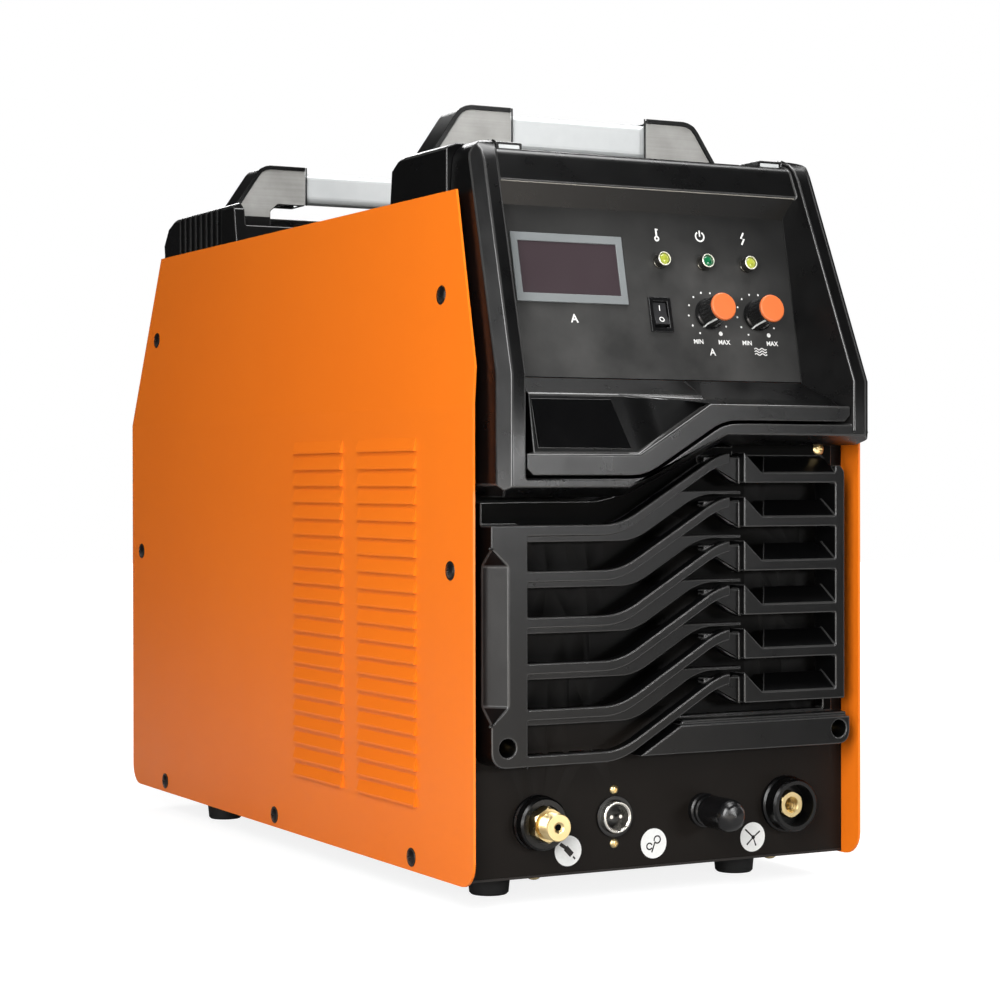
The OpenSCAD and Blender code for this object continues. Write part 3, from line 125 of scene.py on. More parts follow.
camera_data = bpy.data.cameras.new("camera")
camera_data.sensor_width = SENSOR_MM
camera_data.lens = FOCAL_PX / IMAGE_PX * SENSOR_MM
camera_data.shift_y = -0.001
camera = bpy.data.objects.new("camera", camera_data)
bpy.context.scene.collection.objects.link(camera)
back_to_camera = Vector((math.sin(AZIMUTH) * math.cos(ELEVATION),
                         -math.cos(AZIMUTH) * math.cos(ELEVATION), math.sin(ELEVATION)))
aimed = back_to_camera.to_track_quat("Z", "Y")
camera.rotation_mode = "QUATERNION"
camera.rotation_quaternion = aimed @ Matrix.Rotation(ROLL, 3, "Z").to_quaternion()
camera.location = in_metres(CAMERA_PLACE)
bpy.context.scene.camera = camera
bpy.context.scene.view_settings.view_transform = "Standard"
print("lens", round(camera_data.lens, 1), "mm")

# %% [markdown]
# ## Writing shader maths as sums
# A finish is a small sum over noise patterns. Linked by hand, even a short sum takes a
# dozen lines. `Wire` wraps a socket, so that such a sum reads as it does on paper: every
# operator adds one Math node. Any other node comes from `Finish.add`, which takes the
# node's type, its settings and its sockets.

# %% Wires
class Wire:
    """A value on its way through the nodes."""

    def __init__(self, finish, socket):
        self.finish, self.socket = finish, socket

    def math(self, operation, first, second):
        return self.finish.add("Math", {"operation": operation}, {0: first, 1: second})

    def __add__(self, other):
        return self.math("ADD", self, other)

    def __sub__(self, other):
        return self.math("SUBTRACT", self, other)

    def __rsub__(self, other):
        return self.math("SUBTRACT", other, self)

    def __mul__(self, other):
        return self.math("MULTIPLY", self, other)

    __radd__, __rmul__ = __add__, __mul__

    def clamped(self):
        """Never below 0 or above 1."""
        return self.finish.add("Clamp", {}, {0: self, 1: 0.0, 2: 1.0})


print("wires add, subtract, multiply and clamp")


# %% Finishes
class Finish:
    """One material: its nodes, and the Principled shader that they feed."""

    def __init__(self, name, base, roughness, metallic=0.0, **constants):
        self.material = bpy.data.materials.new(name)
        self.material.use_nodes = True
        self.tree = self.material.node_tree
        self.shader = self.tree.nodes["Principled BSDF"]
        self.base = (*base, 1.0)
        self.feed("Base Color", self.base)
        self.feed("Roughness", roughness)
        self.feed("Metallic", metallic)
        for socket, value in constants.items():
            self.feed(socket.replace("_", " "), value)

    def feed(self, socket, value):
        """A wire, or a plain value, into a socket of the Principled shader."""
        self.plug(self.shader.inputs[socket], value)

    def plug(self, socket, value):
        if isinstance(value, Wire):
            self.tree.links.new(value.socket, socket)
        else:
            socket.default_value = value

    def add(self, kind, settings=None, sockets=None, out=0):
        """A node of this type, its settings set first, then its sockets; its output as a Wire."""
        node = self.tree.nodes.new("ShaderNode" + kind)
        for key, value in (settings or {}).items():
            setattr(node, key, value)
        for key, value in (sockets or {}).items():
            self.plug(node.inputs[key], value)
        return Wire(self, node.outputs[out])

    def place(self, stretch=(1, 1, 1)):
        """Object coordinates in metres, stretched where a pattern runs one way."""
        spot = self.add("TexCoord", out="Object")
        if tuple(stretch) == (1, 1, 1):
            return spot
        return self.add("Mapping", {}, {"Vector": spot, "Scale": stretch})

    def axis(self, letter):
        """One of the Object coordinates, in metres."""
        return self.add("SeparateXYZ", {}, {0: self.place()}, letter)

    def noise(self, per_metre, detail=3.0, stretch=(1, 1, 1), harsh=0.55):
        """Noise between 0 and 1 with this many patches to the metre."""
        return self.add("TexNoise", {}, {"Vector": self.place(stretch), "Scale": per_metre,
                                         "Detail": detail, "Roughness": harsh})

    def blend(self, amount, first, second):
        """A colour that goes from the first to the second by the amount."""
        return self.add("Mix", {"data_type": "RGBA"}, {0: amount, 6: first, 7: second}, out=2)

    def tint(self, amount, other):
        """Base Color goes from its own value to the other by the amount."""
        self.feed("Base Color", self.blend(amount, self.base, (*other, 1.0)))

    def overlay(self, amount, other):
        """The other colour laid by the amount over what already feeds Base Color."""
        below = Wire(self, self.shader.inputs["Base Color"].links[0].from_socket)
        self.feed("Base Color", self.blend(amount, below, (*other, 1.0)))

    def bump(self, height, strength, millimetres):
        """The height pattern, this deep at most, turned into slopes for Normal."""
        self.feed("Normal", self.add("Bump", {}, {"Height": height, "Strength": strength,
                                                  "Distance": millimetres * 0.001}))


FINISHES = {}


def keep(slot, finish):
    """The finish's material stored under its name; the finish again."""
    FINISHES[slot] = finish.material
    return finish


print("shader helpers ready")

# %% [markdown]
# ## Painted sheet
# The side sheets, tray and plates are bent steel in powder paint, which is smooth with a
# faint orange peel and a little uneven in gloss where hands and dust have been. One
# function gives each paint a slow noise on its colour, another on its roughness and a
# fine one in its bump, instead of a painted picture, so it fits a sheet of any size. Above
# the grille's foot the front plate's colour is painted near black: painted shade, since
# no light reaches it there.

# %% Painted sheet
def painted(slot, base, worn, roughness, peel, shine=0.5):
    """Colour drifts to the worn one with slow noise, gloss with another, peel in the bump."""
    finish = Finish(slot, base, roughness, Specular_IOR_Level=shine)
    drift = ((finish.noise(6.0, 2.0) - 0.35) * 1.2).clamped()
    finish.tint(drift * 0.6, worn)
    finish.feed("Roughness", finish.noise(22.0, 4.0) * 0.10 + (roughness - 0.05))
    finish.bump(finish.noise(900.0, 2.0), peel, 0.05)
    return keep(slot, finish)


GRILLE_FOOT_Z = 0.106
painted("orange_sheet", (0.85, 0.180, 0.008), (0.80, 0.150, 0.006), 0.34, 0.08, 0.35)
painted("dark_sheet", (0.013, 0.0105, 0.009), (0.017, 0.014, 0.012), 0.44, 0.35, 0.30)
front = painted("front_sheet", (0.0078, 0.0062, 0.0050), (0.0095, 0.0076, 0.0062), 0.50, 0.35, 0.10)
# Painted shade: the front plate's colour goes near black above the grille's foot.
front.overlay(((front.axis("Z") - GRILLE_FOOT_Z) * 300.0).clamped(), (0.0008, 0.0007, 0.0006))
painted("black_screw", (0.0045, 0.0042, 0.0042), (0.008, 0.0075, 0.0075), 0.30, 0.2)
print("paints:", ", ".join(FINISHES))

# %% [markdown]
# ## Moulded plastic, rubber and boards
# The hood, chin, grille and handle ends are injection-moulded, with the fine grain that
# spark erosion leaves in the tool. The blacks differ mostly in gloss, so gloss is what
# each one varies. Two of the names are for edges: where a moulding is rounded, it is
# smoother, and a paler colour there is a painted highlight which draws its outline.

# %% Moulded plastic
def moulded(slot, base, worn, roughness, grain, shine=0.5):
    """Grain is fine noise in the bump; gloss follows a slower noise, colour drifts a little."""
    finish = Finish(slot, base, roughness, Specular_IOR_Level=shine)
    finish.tint((finish.noise(35.0, 5.0) - 0.3).clamped(), worn)
    finish.feed("Roughness", finish.noise(60.0, 4.0) * 0.14 + (roughness - 0.07))
    finish.bump(finish.noise(2600.0, 2.0), grain, 0.06)
    return keep(slot, finish)


moulded("black_moulding", (0.0012, 0.0012, 0.0013), (0.0024, 0.0024, 0.0025), 0.29, 0.35, 0.36)
moulded("grey_moulding", (0.0014, 0.0014, 0.0015), (0.0028, 0.0028, 0.0030), 0.34, 0.4, 0.4)
moulded("grille_moulding", (0.0012, 0.0012, 0.0013), (0.0022, 0.0022, 0.0023), 0.30, 0.4, 0.26)
# Near black for painted shade: the grille's back wall and the disc in the torch's bore.
moulded("painted_shade_black", (0.0010, 0.0010, 0.0010), (0.0016, 0.0016, 0.0016), 0.62, 0.4, 0.05)
# Paler edge colours are painted highlights: on rounded moulding edges, and on the lip's bead.
moulded("painted_edge_highlight", (0.026, 0.026, 0.026), (0.050, 0.049, 0.047), 0.22, 0.15)
moulded("painted_bead_highlight", (0.34, 0.32, 0.28), (0.46, 0.43, 0.38), 0.26, 0.1)
moulded("gloss_black", (0.0016, 0.0016, 0.0018), (0.0026, 0.0026, 0.0027), 0.13, 0.02)
moulded("switch_black", (0.0032, 0.0032, 0.0035), (0.0055, 0.0055, 0.0056), 0.25, 0.25)
moulded("knob_black", (0.0018, 0.0018, 0.0020), (0.0035, 0.0035, 0.0036), 0.24, 0.15)
moulded("rocker_grey", (0.020, 0.020, 0.021), (0.030, 0.030, 0.031), 0.30, 0.25)
moulded("orange_cap", (0.60, 0.135, 0.032), (0.54, 0.115, 0.026), 0.42, 0.3)
moulded("grey_bezel", (0.15, 0.162, 0.165), (0.21, 0.225, 0.225), 0.42, 0.3)
moulded("smoked_window", (0.036, 0.025, 0.029), (0.040, 0.028, 0.032), 0.30, 0.02)
print(len(FINISHES), "finishes so far")

# %% Rubber, hose, boards and windings
moulded("rubber_black", (0.011, 0.011, 0.011), (0.02, 0.019, 0.018), 0.68, 0.6)
moulded("hose_blue", (0.03, 0.05, 0.10), (0.04, 0.06, 0.11), 0.55, 0.4)
moulded("circuit_board", (0.02, 0.12, 0.05), (0.03, 0.16, 0.06), 0.35, 0.3)
moulded("copper", (0.42, 0.13, 0.04), (0.50, 0.18, 0.06), 0.38, 0.6)
moulded("core_iron", (0.09, 0.08, 0.075), (0.12, 0.10, 0.09), 0.6, 0.7)
print(len(FINISHES), "finishes so far")

# %% [markdown]
# ## The control panel's paint
# Its satin grey has soft lighter clouds, so two noises of different size share the drift
# between two greys. The corner under the lip and beside the right cheek lies in shade. The
# lights here leave it too bright, so that shade is painted in: two ramps over the height
# and the width are added up and laid over the clouds.

# %% Panel lacquer
UNDER_LIP_Z, BY_CHEEK_X = 0.375, 0.055

panel = Finish("grey_panel", (0.015, 0.015, 0.0145), 0.42)
clouds = panel.noise(14.0, 5.0, harsh=0.62) * 0.7 + panel.noise(45.0, 4.0) * 0.3
panel.tint(((clouds - 0.38) * 2.6).clamped(), (0.055, 0.054, 0.052))
under_lip = ((panel.axis("Z") - UNDER_LIP_Z) * 20.0).clamped()
by_cheek = ((panel.axis("X") - BY_CHEEK_X) * 18.0).clamped()
panel.overlay(((under_lip + by_cheek) * 0.8).clamped(), (0.0045, 0.0045, 0.0043))
panel.feed("Roughness", panel.noise(50.0, 4.0) * 0.12 + 0.38)
panel.bump(panel.noise(1500.0, 3.0), 0.4, 0.05)
keep("grey_panel", panel)
print("panel lacquer has", len(panel.tree.nodes), "nodes")

# %% [markdown]
# ## Metals
# Turned brass has fine rings round its axis and a warm, slightly uneven tone; drawn
# aluminium has long hair lines along the bar; nickel is nearly a mirror. The Anisotropic
# socket would draw out the highlights but show no single line. So the lines are noise in
# the bump, squeezed across one direction and drawn out along the other. The handles'
# plates are brushed and then handled, so lines and smudges both move their colour.

# %% Metals
def metal(slot, base, worn, roughness, lines, strength, metallic=1.0):
    """Colour and gloss follow slow noise; the bump is noise stretched along the lines."""
    finish = Finish(slot, base, roughness, metallic)
    finish.tint((finish.noise(90.0, 4.0) - 0.3).clamped(), worn)
    finish.feed("Roughness", finish.noise(140.0, 4.0) * 0.16 + (roughness - 0.08))
    finish.bump(finish.noise(1500.0, 3.0, lines), strength, 0.03)
    return keep(slot, finish)


ALONG_X = (0.02, 1.0, 1.0)
metal("brass_part", (0.80, 0.64, 0.34), (0.68, 0.50, 0.22), 0.30, (0.12, 1.5, 0.12), 0.25)
metal("bar_aluminium", (0.56, 0.575, 0.575), (0.48, 0.495, 0.50), 0.44, (0.03, 1.0, 1.0), 0.30, 0.25)
metal("bright_metal", (0.82, 0.80, 0.75), (0.72, 0.70, 0.65), 0.24, (0.3, 1.0, 0.3), 0.15)
# The bezels' nickel is darkened as painted shade; the rims' pale copy is a painted highlight.
metal("lamp_nickel_shaded", (0.13, 0.125, 0.11), (0.08, 0.078, 0.07), 0.26, (1.0, 0.3, 1.0), 0.1)
metal("lamp_rim_highlight", (0.78, 0.77, 0.68), (0.66, 0.65, 0.57), 0.46, (1.0, 0.3, 1.0), 0.0)
metal("steel", (0.52, 0.53, 0.55), (0.44, 0.45, 0.47), 0.34, (1.0, 1.0, 0.1), 0.3)
brushed = metal("handle_plate", (0.40, 0.395, 0.38), (0.25, 0.245, 0.23), 0.46, ALONG_X, 0.5, 0.35)
brush_lines = brushed.noise(700.0, 3.0, ALONG_X)
smudges = brushed.noise(55.0, 4.0)
brushed.tint((brush_lines * 0.6 + smudges * 1.2 - 0.45).clamped(), (0.24, 0.235, 0.22))
print(len(FINISHES), "finishes so far")

# %% [markdown]
# ## Lamp lenses and printing ink
# A signal lamp is a cap of tinted plastic with light caught inside it. Glass with a lamp
# behind would be slow and noisy at this size, so the lens is an opaque plastic under a
# clear coat with a very faint glow, and ribs of noise shared by both colours give it
# depth. The ink of the panel's print is a matt white that is nowhere quite even.

# %% Lenses and ink
def lit_lens(slot, base, bright):
    """Noise makes the ribs: it moves both the colour and the faint glow towards the bright one."""
    finish = Finish(slot, base, 0.12, Emission_Strength=0.10, Coat_Weight=0.6, Coat_Roughness=0.05)
    ribs = finish.noise(420.0, 2.0)
    finish.tint((ribs * 1.6 - 0.4).clamped(), bright)
    finish.feed("Emission Color", finish.blend(ribs, finish.base, (*bright, 1.0)))
    return keep(slot, finish)


lit_lens("yellow_lens", (0.20, 0.23, 0.02), (0.42, 0.46, 0.06))
lit_lens("green_lens", (0.002, 0.06, 0.022), (0.01, 0.17, 0.06))
white_print = keep("white_print", Finish("white_print", (0.74, 0.74, 0.72), 0.55))
white_print.tint((white_print.noise(500.0, 3.0) - 0.35).clamped(), (0.60, 0.60, 0.58))
print(len(FINISHES), "finishes in all")

# %% [markdown]
# ## Which finish a piece wears
# The model names a material for each node, and most wear the finish of that name. A few
# share a material but not a look, such as the rocker, whose face is a paler black than
# the switch round it. They are listed by name, so the model's own table stays as it is.

# %% Finish of a node
OWN_FINISH = {
    "purge_switch_rocker": "rocker_grey", "front_plate": "front_sheet",
    "lamp_bezels": "lamp_nickel_shaded", "front_grille": "grille_moulding",
}


def finish_of(node):
    """The node's own finish where it has one, otherwise that of its material."""
    return FINISHES[OWN_FINISH.get(node, slot_of_node[node])]


print(len(OWN_FINISH), "nodes wear a finish of their own")

# %% [markdown]
# ## Rounding the structure's edges
# A pressed or moulded edge is never knife-sharp: it catches a thin line of light. Each
# node keeps its shape, but a copy of its mesh is merged, its flat triangles are joined
# into whole faces, and a Bevel modifier rounds what is still sharp. The copy stands for
# the node. A bevel drawn by hand would look the same and couldn't be changed by a number.

# %% Merging and creases
CREASE = math.radians(32.0)


@contextmanager
def editing(mesh):
    """The mesh opened for edits, which go back into it at the end."""
    sheet = bmesh.new()
    sheet.from_mesh(mesh)
    yield sheet
    sheet.to_mesh(mesh)
    sheet.free()


def creased(mesh):
    """Smooth shading, with every edge sharper than the crease angle kept sharp."""
    with editing(mesh) as sheet:
        for face in sheet.faces:
            face.smooth = True
        for edge in sheet.edges:
            edge.smooth = len(edge.link_faces) != 2 or edge.calc_face_angle(0.0) < CREASE


print("creases start at", round(math.degrees(CREASE)), "degrees")

# %% [markdown]
# The chin's wave has a broader round along its brow, where its front meets its top. The
# Bevel modifier takes its width from each edge's weight, so the brow gets 1 and the
# other sharp edges a smaller share. The grille's back wall lies deep between the bars
# and is painted near black with a finish of its own: painted shade.

# %% Brows and recesses
SHARP = math.radians(35.0)
BACK_WALL_Y = (-0.277, -0.275)


def weigh_brows(mesh, broad, plain):
    """1 where a face that looks forward meets one that looks up, plain over broad elsewhere."""
    with editing(mesh) as sheet:
        layers = sheet.edges.layers.float
        weight = layers.get("bevel_weight_edge") or layers.new("bevel_weight_edge")
        for edge in sheet.edges:
            if len(edge.link_faces) != 2 or edge.calc_face_angle(0.0) < SHARP:
                continue
            forward = min(face.normal.y for face in edge.link_faces) < -0.9
            upward = max(face.normal.z for face in edge.link_faces) > 0.5
            edge[weight] = 1.0 if forward and upward else plain / broad


def darken_back_wall(mesh):
    """Painted shade: the near-black finish on the faces that look forward between the two depths."""
    mesh.materials.append(FINISHES["painted_shade_black"])
    front_depth, back_depth = BACK_WALL_Y
    for face in mesh.polygons:
        forward = face.normal.y < -0.99
        face.material_index = int(forward and front_depth < face.center.y < back_depth)


print("the back wall lies", round(-sum(BACK_WALL_Y) * 500), "mm in front of the middle")


# %% Rounded copies
def rounded(node, width_mm, broad_mm=None):
    """The node's mesh, merged and with its edges rounded by the width; brows by the broad one."""
    mesh = frame["nodes"][node].data.copy()
    mesh.materials.clear()
    with editing(mesh) as sheet:
        bmesh.ops.remove_doubles(sheet, verts=sheet.verts, dist=2e-6)
        bmesh.ops.dissolve_limit(sheet, angle_limit=math.radians(0.4), verts=sheet.verts, edges=sheet.edges)
    piece = bpy.data.objects.new(node + "_rounded", mesh)
    bpy.context.scene.collection.objects.link(piece)
    mesh.materials.append(finish_of(node))
    if node == "front_grille":
        darken_back_wall(mesh)
    # Black and grey mouldings get the pale edge colour on their bevels: a painted highlight along each
    # rounded edge.
    if slot_of_node[node] in ("black_moulding", "grey_moulding"):
        mesh.materials.append(FINISHES["painted_edge_highlight"])
    creased(mesh)
    bevel = piece.modifiers.new("rounding", "BEVEL")
    bevel.width, bevel.segments = width_mm * 0.001, 2
    bevel.limit_method, bevel.angle_limit = "ANGLE", SHARP
    if broad_mm:
        weigh_brows(mesh, broad_mm, width_mm)
        bevel.width, bevel.segments = broad_mm * 0.001, 3
        bevel.limit_method = "WEIGHT"
    bevel.harden_normals = True
    bevel.use_clamp_overlap = False
    bevel.miter_outer = "MITER_ARC"
    bevel.material = len(mesh.materials) - 1
    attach(piece, body_of_node[node])
    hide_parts(node)
    return piece


print("edges are rounded from", round(math.degrees(SHARP)), "degrees")

# %% Round the named nodes
ROUNDED_MM = {
    "front_hood": 0.9, "front_top_cap": 0.9, "rear_top_cap": 0.9, "chin_moulding": 0.7,
    "front_grille": 0.85, "badge_plate": 0.3, "display_bezel": 0.35, "front_handle_brackets": 0.8,
    "rear_handle_brackets": 0.8, "purge_switch_body": 0.35, "purge_switch_rocker": 0.3,
    "mains_switch_body": 0.4, "mains_switch_toggle": 0.4, "front_plate": 0.3, "cable_gland": 0.4,
}
BROW_MM = {"chin_moulding": 1.5}
for node, width in ROUNDED_MM.items():
    piece = rounded(node, width, BROW_MM.get(node))
    print(node, len(piece.data.polygons), "faces")

# %% [markdown]
# ## Surfaces from grids
# A turned part is one profile carried round an axis. Blender's Screw modifier would do
# that, but not change the radius on the way. Written as arrays, the points are radius
# times cosine and sine of the angle, and height along the axis, and a second function may
# change the radius with angle and height: that is all it takes for flutes, hexagons,
# knurls and threads.

# %% Grids and joins
def quads(nu, nv, wrap_u, wrap_v):
    """Faces between neighbours of a grid numbered row by row, joined round where it wraps."""
    i, j = np.meshgrid(np.arange(nu if wrap_u else nu - 1), np.arange(nv if wrap_v else nv - 1),
                       indexing="ij")
    k, m = (i + 1) % nu, (j + 1) % nv
    return np.stack([i * nv + j, k * nv + j, k * nv + m, i * nv + m], -1).reshape(-1, 4)


def joined(parts):
    """Several (points, faces) pairs as one, each part's faces counted on from the last."""
    points, faces, start = [], [], 0
    for part_points, part_faces in parts:
        points.append(part_points)
        faces += [[corner + start for corner in face] for face in part_faces]
        start += len(part_points)
    return np.concatenate(points), faces


print("a tube of 8 by 3 points has", len(quads(8, 3, True, False)), "faces")


# %% Finished pieces
def seated(name, part, slot, body="case", replaces=(), finish=None):
    """A part made one mesh, merged, its faces turned outwards, finished and put on its body."""
    points, faces = part
    mesh = bpy.data.meshes.new(name)
    mesh.from_pydata(np.asarray(points).tolist(), [], [list(face) for face in faces])
    with editing(mesh) as sheet:
        bmesh.ops.remove_doubles(sheet, verts=sheet.verts, dist=1e-6)
        bmesh.ops.recalc_face_normals(sheet, faces=sheet.faces)
    creased(mesh)
    mesh.materials.append(FINISHES[finish or slot])
    piece = bpy.data.objects.new(name, mesh)
    bpy.context.scene.collection.objects.link(piece)
    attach(piece, body)
    if replaces:
        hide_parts(*replaces)
    print(name, len(mesh.polygons), "faces")
    return piece


# %% Profiles
def eased(corners, cut, steps=5, closed=False):
    """Each inner corner c becomes the curve (1-t)(1-t)a + 2t(1-t)c + t t b, a and b a cut away."""
    corners = np.asarray(corners, float)
    before = np.roll(corners, 1, 0) - corners
    after = np.roll(corners, -1, 0) - corners
    length = [np.linalg.norm(side, axis=1, keepdims=True) + 1e-12 for side in (before, after)]
    near = [corners + side / span * np.minimum(cut, span * 0.45)
            for side, span in zip((before, after), length)]
    t = np.linspace(0, 1, steps)[None, :, None]
    a, b, c = near[0][:, None], near[1][:, None], corners[:, None]
    curve = (1 - t) ** 2 * a + 2 * t * (1 - t) * c + t ** 2 * b
    if not closed:
        curve = np.concatenate([corners[:1], curve[1:-1].reshape(-1, corners.shape[1]), corners[-1:]])
    return curve.reshape(-1, corners.shape[1])


def fine(profile, longest):
    """The profile with points added so that no step along it is longer than this."""
    profile = np.asarray(profile, float)
    run = np.concatenate([[0], np.cumsum(np.linalg.norm(np.diff(profile, axis=0), axis=1))])
    extra = np.arange(0, run[-1], longest)
    marks = np.unique(np.concatenate([run, extra]).round(5))
    return np.stack([np.interp(marks, run, profile[:, k]) for k in (0, 1)], -1)


print("a square corner eased has", len(eased([[0, 0], [1, 0], [1, 1]], 0.2)), "points")


# %% Turned parts
def turned(profile, seat, steps=72, shape=None):
    """x = r cos a, y = r sin a, z = h, with r changed by shape(a, r, h) where one is given."""
    r, h = np.asarray(profile, float).T
    a = np.linspace(0, 2 * np.pi, steps, endpoint=False)[:, None]
    radius, height = np.broadcast_arrays(r[None, :], h[None, :] + 0 * a)
    if shape:
        radius = shape(a, radius, height)
    points = np.stack([radius * np.cos(a), radius * np.sin(a), height], -1).reshape(-1, 3)
    return seat.at(points), quads(steps, len(r), True, False)


def hexagon(across_flats, low, high):
    """Between two heights: half the flats' distance over cos of the angle from a flat's middle."""
    def shape(a, r, h):
        flat = across_flats / 2 / np.cos((a + np.pi / 6) % (np.pi / 3) - np.pi / 6)
        ends = across_flats / 2 * 1.02 + 1.6 * np.minimum(h - low, high - h).clip(0)
        return np.where((h >= low) & (h <= high) & (r > across_flats * 0.45), np.minimum(flat, ends), r)
    return shape


def thread(pitch, depth, low, high):
    """A helical groove: depth times the triangle wave of height over pitch less the turn."""
    def shape(a, r, h):
        turn = (h / pitch - a / (2 * np.pi)) % 1
        groove = depth * (1 - np.abs(2 * turn - 1)) * ((h - low) * (high - h) > 0)
        return r - groove
    return shape


print("thread's root radius:", thread(1.5, 0.6, 0, 9)(0.0, np.array([8.0]), np.array([0.75])))

# %% [markdown]
# ## The torch fitting
# The torch screws onto a brass thread with a coned gas seat. Its nut is a hexagon whose
# corners are chamfered, so the smaller of the hexagon and a cone is taken at each height.
# One profile carries bore, nut and thread, which leaves no seams between them. The real
# bore is open and looks black because it is deep. A dark disc in it gives that look here;
# the real fitting has no such disc.

# %% Torch fitting
TORCH_X, BORE_R = -86.0, 2.45


def torch_shape(a, r, h):
    """The hexagon first, then the thread cut into what stands past it."""
    return thread(1.5, 0.75, 16.9, 26.2)(a, hexagon(19.0, 7.0, 15.6)(a, r, h), h)


torch_seat = on_front(TORCH_X, SOCKET_H)
torch_profile = fine([[2.5, -24], [6, -24], [6, 7], [9.6, 7.01], [9.6, 15.59], [7.4, 15.6], [7.4, 16.8],
                      [8.3, 17.3], [8.3, 26.2], [7.7, 27], [3.4, 27], [2.5, 26.2], [2.5, -24]], 0.3)
seated("torch_thread", turned(torch_profile, torch_seat, 120, torch_shape), "brass_part",
       replaces=["torch_fitting"])
# A near-black disc deep in the bore: painted shade, since the real bore is open.
bore = turned([[0, 20.0], [BORE_R, 20.0], [BORE_R, 25.4], [0, 25.4]], torch_seat, 32)
seated("torch_bore_shade_disc", bore, "brass_part", finish="painted_shade_black")

# %% [markdown]
# ## The work socket
# The work cable's bolt goes into a brass insert: a hexagon outside and a thread inside,
# deep in an insulating cup. It is the same recipe, with the thread on the inner wall, and
# a small disc for the bottom of the bore.

# %% Work socket insert
WORK_X = 92.4

work_seat = on_front(WORK_X, SOCKET_H)
work_profile = fine([[4.5, -14], [4.5, 7.2], [5.1, 8], [8.0, 8], [8.0, 2.01], [7, 2], [7, -30],
                     [0, -30]], 0.5)


def work_shape(a, r, h):
    """The thread on the inner wall, the hexagon on the outer one."""
    inner = thread(1.25, 0.5, -12.0, 7.0)(a, r, h)
    return np.where(r < 4.9, inner, hexagon(15.4, 2.0, 8.0)(a, r, h))


work_bottom = turned([[0, -14], [4.5, -14]], work_seat, 120)
seated("work_socket_nut", joined([turned(work_profile, work_seat, 120, work_shape), work_bottom]),
       "brass_part", replaces=["work_socket_insert"])

# %% [markdown]
# ## The trigger socket
# The torch's trigger plugs into a round two-pin socket: a knurled nickel sleeve on a
# black flange. Real knurls cross, but on a ring this narrow only their upright lines
# show, so flutes round the edge are enough.

# %% Trigger socket
TRIGGER_X = -32.6


def knurl(count, depth, low, high):
    """Fine flutes round the edge: depth times the absolute sine of half count times the angle."""
    def shape(a, r, h):
        return r - depth * np.abs(np.sin(a * count / 2)) * ((h > low) & (h < high) & (r > 8.6))
    return shape


trigger_seat = on_front(TRIGGER_X, SOCKET_H)
flange = eased([[8.2, 0.02], [12.5, 0.02], [12.5, 1.6], [9.9, 1.6], [9.9, 0.9], [8.2, 0.9],
                [8.2, 0.02]], 0.3)
seated("trigger_socket_flange", turned(flange, trigger_seat), "bright_metal", finish="switch_black")
sleeve = fine(eased([[7.6, -14], [8.0, -14], [8.0, 0.9], [9.8, 0.9], [9.8, 4.4], [9.2, 5.0], [8.4, 5.0],
                     [7.6, 4.2], [7.6, -14]], 0.25), 0.6)
seated("trigger_socket_sleeve", turned(sleeve, trigger_seat, 144, knurl(48, 0.28, 1.2, 4.2)),
       "bright_metal", replaces=["trigger_socket_shell"])

# %% [markdown]
# ## Knobs
# A knob is a skirt with a fluted grip above it and a coloured disc in its top. Cutting
# eighteen flutes with booleans would leave ragged rims. Here they are a power of a
# cosine, so that their ridges stay broad and their valleys narrow, and fade out at both
# ends.

# %% Knob profiles
KNOB_S, KNOB_X, KNOB_PITCH, KNOB_TOP = 42.5, 36.2, 35.8, 16.8


def flutes(a, r, h):
    """Radius less 0.45 mm times cosine to the eighth, fading out at both ends of the grip."""
    fade = np.clip((h - 4.6) / 1.2, 0, 1) * np.clip((KNOB_TOP - 1.2 - h) / 1.2, 0, 1)
    return r - 0.45 * np.cos(a * 9) ** 8 * fade * (r > 6)


knob_profile = fine(eased([[3.05, 0.5], [9.6, 0.4], [10, 1.0], [10, 2.9], [9.2, 3.9], [8.85, 4.6],
                           [8.6, KNOB_TOP], [0, KNOB_TOP]], 0.5), 0.8)
disc_profile = eased([[0, KNOB_TOP], [8.75, KNOB_TOP], [8.75, KNOB_TOP + 1.5], [8.1, KNOB_TOP + 2.2],
                      [0, KNOB_TOP + 2.2]], 0.6, 7)
print("knob profile has", len(knob_profile), "points")

# %% [markdown]
# The pointer is a thin white inlay that runs down the grip and out over the skirt. It is
# a strip carried along that line, a little sunk, so it follows both without a gap.

# %% Knobs, discs and pointers
POINTER = math.radians(-122)


def pointer(seat):
    """A strip over the grip and skirt: its line in (r, h), its width along the tangent."""
    line = np.array([[8.75, 15.6], [8.9, 10], [9.06, 4.7], [9.5, 3.95], [10.12, 3.0], [10.14, 1.4]])
    width = np.array([0.60, 0.52, 0.46, 0.42, 0.40, 0.38])
    out = np.array([math.cos(POINTER), math.sin(POINTER), 0.0])
    side = np.array([-out[1], out[0], 0.0])
    section = [(-1, 0.0), (1, 0.0), (1, 0.22), (-1, 0.22)]
    rows = [(line[:, :1] + lift - 0.15) * out + line[:, 1:] * [0, 0, 1] + across * width[:, None] * side
            for across, lift in section]
    points = np.stack(rows, 1)
    ends = [list(range(4)), list(range(len(line) * 4 - 4, len(line) * 4))]
    return seat.at(points.reshape(-1, 3)), quads(len(line), 4, False, True).tolist() + ends


for number, name in enumerate(("current_knob", "purge_knob")):
    seat = panel_seat.moved(KNOB_X + number * KNOB_PITCH, KNOB_S)
    seated(name + "_grip", turned(knob_profile, seat, 144, flutes), "knob_black", name, [name])
    seated(name + "_disc", turned(disc_profile, seat), "orange_cap", name, [name + "_cap"])
    seated(name + "_pointer", pointer(seat), "knob_black", name, finish="white_print")

